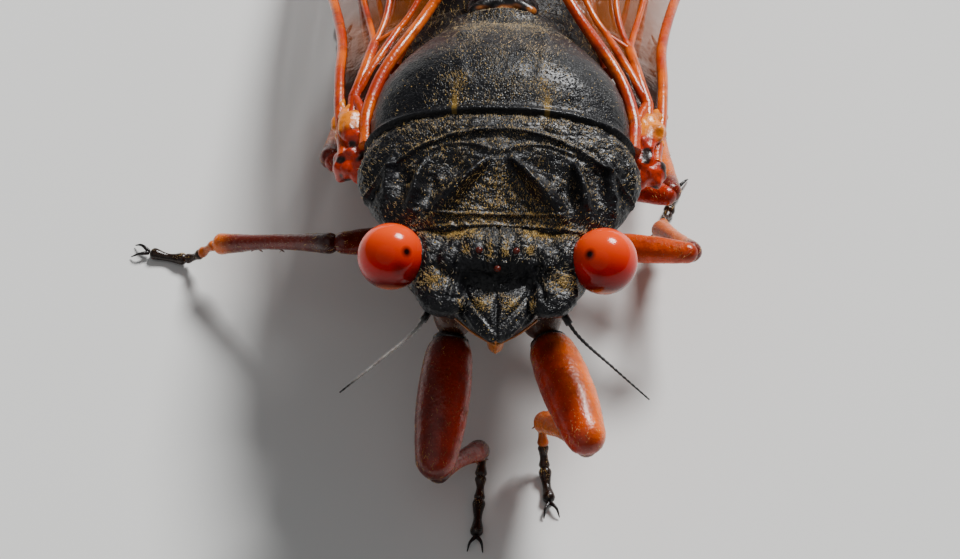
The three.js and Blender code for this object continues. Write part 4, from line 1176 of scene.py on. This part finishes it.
def build_belly(look):
    """The flanks of the thorax and the ringed abdomen, with their thin coat."""
    mesh = new_mesh("thorax_flanks", *trunk(THORAX, 120, 150))

    def flank_relief(points):
        y, z = points[:, 1], points[:, 2]
        side = np.abs(points[:, 0])
        rise = 0
        for start, end in (*THORAX_SEAMS, LONG_SEAM):
            seam, _ = off_line(y, z, start, end)
            rise = rise - 0.16 * np.exp(-(seam / 0.1) ** 2)
        rise = rise * step_up(side, 0.8, 1.6) - 0.12 * np.exp(-(side / 0.09) ** 2)
        return look.relief * (rise + 0.03 * grain(points, 0.5, 31))

    carve(mesh, flank_relief)
    points = read(mesh)
    y, z = points[:, 1], points[:, 2]
    orange = np.zeros(len(points))
    for start, end in THORAX_SEAMS:
        seam, _ = off_line(y, z, start, end)
        orange = np.maximum(orange, np.exp(-((seam - 0.22) / 0.16) ** 2))
    orange = (orange * step_up(-z, 0.0, 1.4))[:, None]
    keep_tint(mesh, (1 - orange) * BELLY_BLACK + orange * (0.4, 0.12, 0.02))
    write(mesh, pitched(points))
    groom(mesh, 0.4 + 0 * z, 0.5 + 0 * z, backward(points), round_unwrap(points, 12))
    grow_coat("thorax_coat", mesh.copy(), look, 11, 0.5, 1.5)
    dressed("thorax_flanks", mesh, finish("belly", look), "abdomen", "thorax")

    def swell(y):
        part = ((y - THORAX_BACK) / ABDOMEN_RING) % 1
        return 0.05 * step_up(part, 0, 0.9) - 0.02 - 0.02 * (part > 0.93)

    mesh = new_mesh("abdomen_rings", *trunk(ABDOMEN, 230, 110, swell))
    carve(mesh, lambda points: look.relief * 0.02 * grain(points, 0.4, 33))
    points = read(mesh)
    part = ((points[:, 1] - THORAX_BACK) / ABDOMEN_RING) % 1
    rim = (step_up(part, 0.8, 0.92) * (0.5 + 0.5 * step_up(-points[:, 2], -0.5, 2)))[:, None]
    keep_tint(mesh, (1 - rim) * BELLY_BLACK + rim * (0.4, 0.12, 0.025))
    write(mesh, pitched(points))
    ones = np.ones(len(points))
    groom(mesh, 0.4 * ones, 0.6 * ones, backward(points), round_unwrap(points, 16))
    grow_coat("abdomen_coat", mesh.copy(), look, 13, 0.5, 1.4)
    dressed("abdomen_rings", mesh, finish("belly", look), "abdomen", "abdomen")


# The wings

def carrier_point(side, y, reach, lift):
    """A point up the section of the folded wing from its leading edge, lifted off the surface."""
    slope, bend = np.radians(along(CARRIER["slope"], y)), np.radians(along(CARRIER["bend"], y))
    turned_by = slope - bend * reach
    x = along(CARRIER["x"], y) - (np.sin(slope) - np.sin(turned_by)) / bend + lift * np.sin(turned_by)
    z = along(CARRIER["z"], y) + (np.cos(turned_by) - np.cos(slope)) / bend + lift * np.cos(turned_by)
    return np.stack([side * x, y + 0 * x, z], -1)


def front_edge(wing, y):
    return along(wing["front"], y)


def hind_edge(wing, y):
    """The reach of a wing's hind edge, which for the forewing comes close to the midline."""
    width = along(wing["width"], y)
    if "inner" not in wing:
        return width
    slope, bend = np.radians(along(CARRIER["slope"], y)), np.radians(along(CARRIER["bend"], y))
    room = along(CARRIER["x"], y) - along(wing["inner"], y)
    return np.minimum((slope - np.arcsin(np.sin(slope) - bend * room)) / bend, width)


def inside(wing, y, share):
    """A point of the wing's plane, at a share of the way from its front to its hind edge."""
    return np.array([y, front_edge(wing, y) * (1 - share) + hind_edge(wing, y) * share])


def rim_point(wing, share):
    """A point of the rim, from the node round the tip to the end of the claval vein."""
    start = wing["node"] if share < 0.5 else wing["claval"]
    y = start + (wing["tip"] - start) * math.sin(math.pi * share)
    return np.array([y, front_edge(wing, y) if share < 0.5 else hind_edge(wing, y)])


def bowed(start, end, bow=0.1, steps=18):
    """A line between two points of the wing's plane that bows sideways."""
    t = np.linspace(0, 1, steps)[:, None]
    step = end - start
    aside = bow * 4 * t * (1 - t) / np.linalg.norm(step)
    return start + step * t + aside * np.array([-step[1], step[0]])


def wing_veins(wing):
    """The veins as lines in the wing's plane, each with its half width at its two ends."""
    base, tip, node = wing["base"], wing["tip"], wing["node"]
    along_y = np.linspace(base - VEIN_LEAD, node, 50)
    veins = [(np.stack([along_y, front_edge(wing, along_y)], -1), 0.2, 0.15)]
    along_y = np.linspace(base - VEIN_LEAD, wing["claval"], 50)
    veins.append((np.stack([along_y, hind_edge(wing, along_y) - 0.05], -1), 0.25, 0.12))
    rim = np.array([rim_point(wing, share) for share in np.linspace(0, 1, 150)])
    veins.append((rim, 0.13, 0.1))
    root, heel, basal = inside(wing, base, 0), inside(wing, base, 1), inside(wing, base + 2, 0.4)
    veins.append((bowed(root, basal), 0.18, 0.21))
    veins.append((bowed(heel, basal), 0.18, 0.19))
    cells, rise, skew, back = (wing["apex"][key] for key in ("cells", "rise", "skew", "back"))
    bow = [inside(wing, node, 0)]
    for k in range(1, cells):
        part = k / cells
        y = node + rise * math.sin(math.pi * part ** skew) - back * part
        bow.append(inside(wing, y, 0.1 + 0.8 * part))
        last = rim_point(wing, 0.14 + 0.75 * k / (cells - 1))
        veins.append((bowed(bow[k], last, 0.4 * (part - 0.45)), 0.09, 0.06))
    bow.append(inside(wing, wing["claval"], 1))
    for k in range(cells):
        veins.append((bowed(bow[k], bow[k + 1], 0.05), 0.08, 0.08))
    if wing is FOREWING:
        front, hind = inside(wing, 10.2, 0.45), inside(wing, 10.6, 0.72)
        median, cubital = inside(wing, 17.2, 0.5), inside(wing, 14.6, 0.76)
        radial = inside(wing, 15.0, 0.22)
        links = [
            (basal, front, 0.1, 0.22), (basal, hind, 0.1, 0.17), (front, hind, 0, 0.1),
            (front, radial, -0.15, 0.12), (radial, bow[1], 0.2, 0.1), (front, median, 0.15, 0.12),
            (median, bow[3], -0.5, 0.1), (median, bow[5], 0.5, 0.1), (hind, cubital, 0.1, 0.12),
            (cubital, bow[6], -0.4, 0.1), (cubital, bow[7], 0.4, 0.1),
            (radial, inside(wing, 17.5, 0.42), 0.0, 0.07),
        ]
    else:
        fork = inside(wing, 15.5, 0.5)
        links = [
            (basal, bow[1], -0.3, 0.1), (basal, fork, 0.2, 0.1),
            (fork, bow[2], -0.3, 0.08), (fork, bow[4], 0.3, 0.08),
        ]
    veins += [(bowed(start, end, sideways), half, 0.85 * half) for start, end, sideways, half in links]
    inner = np.array([rim_point(wing, share) for share in np.linspace(0.1, 0.9, 130)])
    middle = np.array([tip - 8, float(inside(wing, tip - 8, 0.5)[1])])
    inset = inner + RIM_INSET * (middle - inner) / np.linalg.norm(middle - inner, axis=1, keepdims=True)
    veins.append((inset, 0.045, 0.04))
    return veins


def build_wings(look):
    """Four clear wings folded over the back, with their veins and their knobbed roots."""
    for wing, kind in ((FOREWING, "forewing"), (HINDWING, "hindwing")):
        for name, side in SIDES.items():
            piece = f"{kind}_{name}_membrane"
            points, faces, y = wing_sheet(wing, side)
            mesh = new_mesh(piece, pitched(points), faces)
            reach = wing["dark_root"]
            keep(mesh, "root", "FLOAT", step_up(wing["base"] + reach - y, 0, reach))
            dressed(piece, mesh, finish("membrane", look), "wing", f"{kind}_{name}")
            vein_rods(f"{kind}_{name}_veins", wing, side, look)
    build_roots(look)


def wing_sheet(wing, side):
    """The wing's skin as a thin, gently waved leaf, closed all round, and the y of its points."""
    rows, columns = 230, 64
    y = np.linspace(wing["base"], wing["tip"] - 0.02, rows)[:, None]
    share = np.linspace(0, 1, columns)[None, :]
    front, hind = front_edge(wing, y), hind_edge(wing, y)
    reach = front + (hind - front) * share
    place = y + 0 * share
    wave = 0.05 * np.sin(2.1 * place + 3 * reach) * np.sin(1.7 * reach - 0.6 * place)
    lift = wing["lift"] + np.sin(math.pi * share) * wave
    leaves = [carrier_point(side, place, reach, lift + half) for half in (LEAF_HALF, -LEAF_HALF)]
    points = np.concatenate([leaf.reshape(-1, 3) for leaf in leaves])
    count = rows * columns
    corner = (np.arange(rows - 1)[:, None] * columns + np.arange(columns - 1)[None, :]).ravel()
    quads = np.stack([corner, corner + columns, corner + columns + 1, corner + 1], -1)
    faces = quads.tolist() + (quads[:, ::-1] + count).tolist()
    edge = [r * columns for r in range(rows)]
    edge += [(rows - 1) * columns + c for c in range(1, columns)]
    edge += [r * columns + columns - 1 for r in range(rows - 2, -1, -1)]
    edge += [c for c in range(columns - 2, 0, -1)]
    for i, a in enumerate(edge):
        b = edge[(i + 1) % len(edge)]
        faces.append([b, a, a + count, b + count])
    if side < 0:
        faces = [face[::-1] for face in faces]
    return points, [tuple(face) for face in faces], np.tile(place.ravel(), 2)


def vein_rods(name, wing, side, look):
    """Round veins along their lines on the wing."""
    points, edges, halves = [], [], []
    for line, thick, thin in wing_veins(wing):
        start = len(points)
        place = carrier_point(side, line[:, 0], line[:, 1], wing["lift"] + LEAF_HALF)
        points += pitched(place).tolist()
        edges += [(start + i, start + i + 1) for i in range(len(line) - 1)]
        halves += np.linspace(thick, thin, len(line)).tolist()
    mesh = bpy.data.meshes.new(name)
    mesh.from_pydata(points, edges, [])
    keep(mesh, "half", "FLOAT", np.array(halves) * MM)
    rods = as_object(name, mesh)
    modifier = rods.modifiers.new("veins", "NODES")
    modifier.node_group = tree_named("rods along lines", rod_tree)
    named_input(modifier, "Thickness", look.vein_thickness)
    named_input(modifier, "Sides", VEIN_SIDES)
    named_input(modifier, "Finish", finish("vein", look))
    made = applied(rods, name)
    made.shade_smooth()
    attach(rods, "root")


def build_roots(look):
    """The knob at each forewing's root, and the horny yellow plate behind it."""
    for name, side in SIDES.items():
        forms = [ellipsoid((side * x, y, z), radii) for (x, y, z), radii in ROOT_LUMPS]
        mesh = melted(f"wing_root_{name}", forms, 0.06, 3)
        carve(mesh, lambda points: 0.09 * look.relief * grain(points, 0.5, 45))
        points = read(mesh)
        yellow = step_up(points[:, 1], 5.75, 6.05)[:, None]
        dark = step_up(grain(points, 0.55, 41 + side), 0.15, 0.5)[:, None] * (1 - 0.8 * yellow)
        tint = (1 - yellow) * (0.5, 0.025, 0.0) + yellow * (0.9, 0.24, 0.0)
        keep_tint(mesh, tint * (1 - dark) + dark * (0.02, 0.008, 0.006))
        write(mesh, pitched(points))
        dressed(f"wing_root_{name}", mesh, finish("leg", look), "wing")


# The legs

def part_way(a, b, share, lift=0.0):
    """A point part of the way between two others."""
    middle = np.asarray(a, float) * (1 - share) + np.asarray(b, float) * share
    return middle + [0, 0, lift]


def build_legs(look):
    """Six legs from coxa to claws, each in its own tints, with spines and fine hairs."""
    for name, stops in LEGS.items():
        build_leg(name, [np.asarray(stop, float) for stop in stops], look)


def build_leg(name, stops, look):
    """One leg as a single mesh, with its hairs as a second piece."""
    hip, trochanter, knee, ankle, toe = stops
    kind = LEG_KINDS[name.split("_")[0]]
    femur_spines, tibia_spines = kind["spines"]
    black = np.array(LEG_BLACK)
    tints = [np.array(tint) for tint in look.leg_tints(name)]
    femur_tint, lit_tint, shin_tint, ankle_tint, foot_tint = tints
    leg = Gathered()

    def segment(points, half, steps, tints, flat=1.0, around=20, ends=(0.1, 0.9), lit=None):
        """A leg segment whose tint runs from its root through its middle to its tip. Given a lit tint, its
        middle turns to it on the side toward +x, where the key lamp stands: painted light.
        """
        root, middle, tip = tints
        places, faces, share = tube(points, half, steps, around, flat)
        early = step_up(share, ends[0] - 0.08, ends[0] + 0.08)[:, None]
        late = step_up(share, ends[1] - 0.08, ends[1] + 0.08)[:, None]
        ridge = 0.03 * grain(places, 0.5, 51)[:, None]
        # Painted light: the segment's side toward the key lamp takes the lit tint.
        if lit is not None:
            line = points[0][0] + (points[-1][0] - points[0][0]) * share
            sunny = step_up(places[:, 0] - line, -0.5, 0.6)[:, None]
            middle = middle * (1 - sunny) + lit * sunny
        tint = root * (1 - early) + middle * early * (1 - late) + tip * late
        leg.add(upright(places + ridge * [0.3, 0.3, 0.3]), faces, np.clip(tint, 0, 1))

    def spine(root, tip, half, steps, tint, around):
        """A straight spine that tapers to a black tip."""
        stops = [root, part_way(root, tip, 0.5), tip]
        segment(stops, half, steps, (tint, tint * 0.5, black), 1, around)

    hip_line = [hip, part_way(hip, trochanter, 0.5), trochanter]
    brown = np.array((0.07, 0.016, 0.002))
    segment(hip_line, lambda s: kind["coxa"] * (1 - 0.35 * s), 30, (black, brown, black))
    bend = [part_way(trochanter, hip, 0.25), trochanter, part_way(trochanter, knee, 0.1)]
    segment(bend, lambda s: 0 * s + kind["femur"] * 0.78, 16, (black, black, black))

    def thigh(share):
        return kind["femur"] * (0.55 + 0.45 * np.sin(math.pi * (0.1 + 0.82 * share) ** 0.9))

    def calf(share):
        return kind["tibia"] * (1.2 - 0.42 * np.sin(math.pi * share))

    start, end = part_way(trochanter, knee, -0.03), part_way(knee, trochanter, -0.03)
    femur = [start, part_way(trochanter, knee, 0.5, 0.1), end]
    tints = (black, femur_tint, femur_tint * 0.5)
    segment(femur, thigh, 60, tints, 0.9, 32, (0.09, 0.95), lit_tint)
    shin = [knee, part_way(knee, ankle, 0.5, 0.1), ankle]
    tints = (femur_tint * 0.3, shin_tint, ankle_tint)
    segment(shin, calf, 44, tints, 1, 18, (0.16, 0.88))

    heel = part_way(ankle, toe, 0.45)
    heel[2] = 0.28
    path, _, _ = curve_through([ankle, heel, toe], 31, False)
    joints = ((0, 9, 0.95, ankle_tint), (8, 17, 0.9, foot_tint), (16, 30, 1.0, foot_tint * 0.5))
    for first, last, thick, tint in joints:
        piece = path[[first, (first + last) // 2, last]]
        size = kind["tarsus"] * thick
        tints = (tint, tint * 0.7, tint * 0.4)
        segment(piece, lambda s: size * (0.8 + 0.2 * np.cos(2 * math.pi * s)), 18, tints, 0.95, 14)
    heading = (toe - heel) / np.linalg.norm(toe - heel)
    for out in (-1, 1):
        side = np.array([-heading[1] * out, heading[0] * out, 0])
        arch = toe + 0.35 * heading + 0.2 * side + [0, 0, 0.06]
        claw = [toe, arch, toe + 0.62 * heading + 0.27 * side - [0, 0, 0.1]]
        segment(claw, lambda s: 0.085 * (1 - 0.8 * s), 12, (black, black, black), 1, 8)
    for i in range(femur_spines):
        root = part_way(knee, trochanter, 0.16 + 0.16 * i)
        tip = root + [0, 0.25, -1.3 + 0.15 * i]
        spine(root, tip, lambda s: 0.2 * (1 - 0.85 * s), 14, femur_tint, 10)
    for i in range(tibia_spines):
        root = part_way(ankle, knee, 0.03 + 0.09 * i)
        out = 1 if i % 2 else -1
        spine(root, root + [0.4 * out, 0, -0.45], lambda s: 0.07 * (1 - 0.8 * s), 8, shin_tint, 6)

    mesh = leg.mesh(f"leg_{name}")
    points = read(mesh)
    points[:, 2] = np.maximum(points[:, 2], 0)
    write(mesh, points)
    count = len(points)
    heading = np.broadcast_to((toe - ankle) / np.linalg.norm(toe - ankle), (count, 3))
    x, y, z = (points / MM).T
    unwrap = np.stack([0.02 + 0.9 * (z % 8) / 8, 0.02 + 0.9 * ((x + y) % 12) / 12], -1)
    groom(mesh, np.where(z > FEET_BARE_UNDER, 0.3, 0), np.full(count, 0.5), heading, unwrap)
    grow_coat(f"leg_{name}_hairs", mesh.copy(), look, 61, 0.5, 1.1, 0.5)
    nodes = [f"{part}_{name}" for part in ("coxa", "femur", "tibia", "tarsus")]
    dressed(f"leg_{name}", mesh, finish("leg", look), "leg_orange", *nodes)


# The stage

FLOOR_HALF = 3.0  # metres from its middle to its edge


def build_stage(look):
    """A pale floor, soft studio light and the camera."""
    corners = [(x * FLOOR_HALF, y * FLOOR_HALF, 0) for x, y in ((-1, -1), (1, -1), (1, 1), (-1, 1))]
    floor = as_object("floor", new_mesh("floor", np.array(corners), [(0, 1, 2, 3)]))
    floor.data.materials.append(finish("floor", look))

    world = bpy.data.worlds.new("studio")
    world.use_nodes = True
    sky = world.node_tree.nodes["Background"]
    sky.inputs["Color"].default_value = (0.93, 0.96, 1.0, 1)
    sky.inputs["Strength"].default_value = look.sky_strength
    bpy.context.scene.world = world
    middle = Vector(pitched((0, 1.5, 2)))
    for name, heading, distance, size, power in look.lamps():
        data = bpy.data.lights.new(name, "AREA")
        data.shape = "DISK"
        data.size = size
        data.energy = power
        lamp = bpy.data.objects.new(name, data)
        bpy.context.scene.collection.objects.link(lamp)
        heading = Vector(heading).normalized()
        lamp.location = middle + heading * distance
        lamp.rotation_euler = heading.to_track_quat("Z", "Y").to_euler()

    target = Vector(pitched((0, 0, EYE_Z))) + (RIGHT * CAMERA_LOOKS_AT[0] + UP * CAMERA_LOOKS_AT[1]) * MM
    data = bpy.data.cameras.new("camera")
    data.lens = CAMERA_LENS
    data.sensor_width = CAMERA_SENSOR
    data.clip_start, data.clip_end = 0.01, 20
    camera = bpy.data.objects.new("camera", data)
    bpy.context.scene.collection.objects.link(camera)
    camera.location = target - AHEAD * look.camera_distance
    turn = AHEAD.to_track_quat("-Z", "Y").to_matrix()
    roll = Matrix.Rotation(CAMERA_ROLL, 3, "Z")
    camera.rotation_euler = (turn @ roll).to_euler()
    bpy.context.scene.camera = camera


# What a user would change

def colour_of(name, value, what):
    return bpy.props.FloatVectorProperty(
        name=name, description=what, default=value, subtype="COLOR", size=3, min=0, max=1,
    )


def size_of(name, value, what):
    return bpy.props.FloatProperty(
        name=name, description=what, default=value, unit="LENGTH", min=0, precision=5,
    )


def power_of(name, value, what):
    return bpy.props.FloatProperty(
        name=name, description=what, default=value, unit="POWER", min=0, max=100,
    )


def factor_of(name, value, what, high=4.0):
    return bpy.props.FloatProperty(name=name, description=what, default=value, min=0, max=high)


class CicadaBody(bpy.types.PropertyGroup):
    """Sizes and colours of the shell and the eyes."""

    shell_colour: colour_of("Shell", (0.0022, 0.0022, 0.003), "Colour of the black shell")
    stain: colour_of("Golden stain", (0.17, 0.1, 0.012), "Colour of the shell under golden hair")
    relief: factor_of("Relief", 1.0, "How strongly the shell's lobes and wrinkles stand out")
    furrow_depth: factor_of("Furrows", 1.0, "How deep the furrows of the pronotum are")
    eye_radius: size_of("Eye radius", 0.00112, "Radius of the eyes")
    # The eye colours run up the picture: the top is painted light, the low part painted shade.
    eye_top: colour_of("Eye top", (0.9, 0.065, 0.0), "Colour of the upper part of the eyes")
    eye_middle: colour_of("Eye middle", (0.55, 0.003, 0.0), "Colour of the middle of the eyes")
    eye_low: colour_of("Eye low", (0.05, 0.0, 0.0), "Colour of the lower part of the eyes")
    eye_rim: colour_of("Eye rim", (0.5, 0.1, 0.03), "Colour of the thin lower rim of the eyes")


class CicadaCoat(bpy.types.PropertyGroup):
    """The short hairs of the body."""

    hairs: factor_of("Hairs per square millimetre", 330.0, "How thick the coat is where it is full", 2000)
    hair_length: size_of("Hair length", 0.00012, "Length of a hair")
    hair_width: size_of("Hair half width", 0.000012, "Half the width of a hair at its root")
    silver: colour_of("Silver hair", (0.54, 0.52, 0.46), "Colour of the pale hairs")
    gold: colour_of("Golden hair", (0.95, 0.6, 0.16), "Colour of the golden hairs")


class CicadaWings(bpy.types.PropertyGroup):
    """The wings."""

    vein_thickness: factor_of("Vein thickness", 1.0, "How thick the veins are, as a factor")
    vein_colour: colour_of("Vein", (0.42, 0.025, 0.0), "Colour of the veins")
    vein_light: colour_of("Light vein", (0.7, 0.12, 0.0), "Colour of the veins' lighter stretches")
    vein_dark: colour_of("Dark vein", (0.12, 0.015, 0.004), "Colour of the veins' dark patches")
    membrane_colour: colour_of("Membrane", (0.38, 0.085, 0.001), "Colour of the clear wing skin")
    membrane_root: colour_of("Membrane root", (0.022, 0.005, 0.001), "Colour of the wing skin near its root")
    membrane_veil: factor_of("Veil", 0.32, "How much the wing skin hides", 1.0)


class CicadaLegs(bpy.types.PropertyGroup):
    """The legs."""

    # Painted light: the colour of the femora's side toward the key lamp.
    bright: colour_of("Bright leg", (1.0, 0.17, 0.0), "Colour of the bright femora's sunny side")
    red: colour_of("Red leg", (0.5, 0.022, 0.0), "Colour of the red femora")
    # Painted shade: the dark red given to the fore and mid legs on the right, away from the key lamp.
    dusky: colour_of("Dusky leg", (0.16, 0.008, 0.0), "Colour of the dark red femora and tibiae")
    shin: colour_of("Shin", (0.8, 0.15, 0.0), "Colour of the tibiae")
    foot: colour_of("Foot", (0.045, 0.014, 0.004), "Colour of the tarsi")


class CicadaStage(bpy.types.PropertyGroup):
    """The floor, the light and the camera."""

    floor_colour: colour_of("Floor", (0.78, 0.78, 0.76), "Colour of the floor")
    sky_strength: factor_of("Room light", 0.14, "Strength of the light from all round", 10)
    key_power: power_of("Key light", 4.2, "Power of the main lamp, in watts")
    fill_power: power_of("Fill light", 1.4, "Power of the lamp beside the camera, in watts")
    camera_distance: size_of("Camera distance", 0.3, "How far the camera stands from the head")


class Look:
    """The settings of all groups under one roof, with what is worked out from them."""

    def __init__(self, scene):
        for name, group in GROUPS.items():
            settings = getattr(scene, name)
            for setting in group.__annotations__:
                value = getattr(settings, setting)
                setattr(self, setting, value if isinstance(value, float) else tuple(value))

    def eye_spots(self):
        """The eyes' dark spots: side, place across and above in radii, size in millimetres, strength."""
        return [
            (-1, 0.48, 0.15, 0.2, 1.0),
            (-1, 0.27, -0.39, 0.28, 0.45),
            (1, -0.45, 0.2, 0.21, 1.0),
            (1, -0.2, -0.5, 0.3, 0.3),
        ]

    def leg_tints(self, name):
        """The tints of a leg's femur on its shaded side and on its side toward the key lamp in painted light,
        then its tibia, its ankle and its foot.
        """
        if name in ("fore_left", "mid_left"):
            return self.red, self.bright, self.shin, self.shin, self.foot
        # Painted shade: the fore and mid legs on the right, away from the key lamp, take darker tints.
        if name == "fore_right":
            return self.dusky, Vector(self.red) * 0.75, Vector(self.red) * 0.6, self.foot, self.foot
        if name == "mid_right":
            return self.dusky, self.dusky, self.dusky, self.shin, self.foot
        return self.red, self.red, self.shin, self.foot, self.foot

    def lamps(self):
        """The lamps: name, direction to it, distance, size and power."""
        return [
            ("key_lamp", (0.34, 0.62, 0.66), 0.5, 0.16, self.key_power),
            ("fill_lamp", (-0.35, -0.6, 0.9), 0.9, 1.3, self.fill_power),
        ]


GROUPS = {
    "cicada_body": CicadaBody,
    "cicada_coat": CicadaCoat,
    "cicada_wings": CicadaWings,
    "cicada_legs": CicadaLegs,
    "cicada_stage": CicadaStage,
}


# The operators and their panel

class CICADA_OT_head(bpy.types.Operator):
    """Builds the head capsule with its lobes, ocelli and coat"""

    bl_idname = "cicada.head"
    bl_label = "Head"

    def execute(self, context):
        build_head(Look(context.scene))
        return {"FINISHED"}


class CICADA_OT_face(bpy.types.Operator):
    """Builds the face plate and the beak"""

    bl_idname = "cicada.face"
    bl_label = "Face and beak"

    def execute(self, context):
        build_face(Look(context.scene))
        return {"FINISHED"}


class CICADA_OT_eyes(bpy.types.Operator):
    """Builds the two compound eyes"""

    bl_idname = "cicada.eyes"
    bl_label = "Eyes"

    def execute(self, context):
        build_eyes(Look(context.scene))
        return {"FINISHED"}


class CICADA_OT_feelers(bpy.types.Operator):
    """Builds the two feelers"""

    bl_idname = "cicada.feelers"
    bl_label = "Feelers"

    def execute(self, context):
        build_feelers(Look(context.scene))
        return {"FINISHED"}


class CICADA_OT_pronotum(bpy.types.Operator):
    """Builds the furrowed shield behind the head"""

    bl_idname = "cicada.pronotum"
    bl_label = "Pronotum"

    def execute(self, context):
        build_pronotum(Look(context.scene))
        return {"FINISHED"}


class CICADA_OT_mesonotum(bpy.types.Operator):
    """Builds the dome between the wings and its cross-shaped ridge"""

    bl_idname = "cicada.mesonotum"
    bl_label = "Mesonotum"

    def execute(self, context):
        build_mesonotum(Look(context.scene))
        return {"FINISHED"}


class CICADA_OT_belly(bpy.types.Operator):
    """Builds the flanks and the ringed abdomen"""

    bl_idname = "cicada.belly"
    bl_label = "Flanks and abdomen"

    def execute(self, context):
        build_belly(Look(context.scene))
        return {"FINISHED"}


class CICADA_OT_wings(bpy.types.Operator):
    """Builds the four wings with their veins and roots"""

    bl_idname = "cicada.wings"
    bl_label = "Wings"

    def execute(self, context):
        build_wings(Look(context.scene))
        return {"FINISHED"}


class CICADA_OT_legs(bpy.types.Operator):
    """Builds the six legs"""

    bl_idname = "cicada.legs"
    bl_label = "Legs"

    def execute(self, context):
        build_legs(Look(context.scene))
        return {"FINISHED"}


class CICADA_OT_stage(bpy.types.Operator):
    """Sets the floor, the light and the camera"""

    bl_idname = "cicada.stage"
    bl_label = "Stage"

    def execute(self, context):
        build_stage(Look(context.scene))
        return {"FINISHED"}


OPERATORS = [
    CICADA_OT_stage,
    CICADA_OT_head,
    CICADA_OT_face,
    CICADA_OT_eyes,
    CICADA_OT_feelers,
    CICADA_OT_pronotum,
    CICADA_OT_mesonotum,
    CICADA_OT_belly,
    CICADA_OT_wings,
    CICADA_OT_legs,
]


class CICADA_PT_pieces(bpy.types.Panel):
    """Lists the pieces and what can be changed on them."""

    bl_idname = "CICADA_PT_pieces"
    bl_label = "Cicada"
    bl_space_type = "VIEW_3D"
    bl_region_type = "UI"
    bl_category = "Cicada"

    def draw(self, context):
        for operator in OPERATORS:
            self.layout.operator(operator.bl_idname)
        for name in GROUPS:
            box = self.layout.box()
            group = getattr(context.scene, name)
            for setting in group.bl_rna.properties:
                if setting.identifier not in ("rna_type", "name"):
                    box.prop(group, setting.identifier)


def register():
    for group in GROUPS.values():
        bpy.utils.register_class(group)
    for name, group in GROUPS.items():
        setattr(bpy.types.Scene, name, bpy.props.PointerProperty(type=group))
    for made in (*OPERATORS, CICADA_PT_pieces):
        bpy.utils.register_class(made)


def unregister():
    for made in (CICADA_PT_pieces, *reversed(OPERATORS)):
        bpy.utils.unregister_class(made)
    for name in reversed(GROUPS):
        delattr(bpy.types.Scene, name)
    for group in reversed(GROUPS.values()):
        bpy.utils.unregister_class(group)


def main():
    """Registers the add-on and builds every piece."""
    register()
    for operator in OPERATORS:
        group, name = operator.bl_idname.split(".")
        getattr(getattr(bpy.ops, group), name)()


if __name__ == "__main__":
    main()
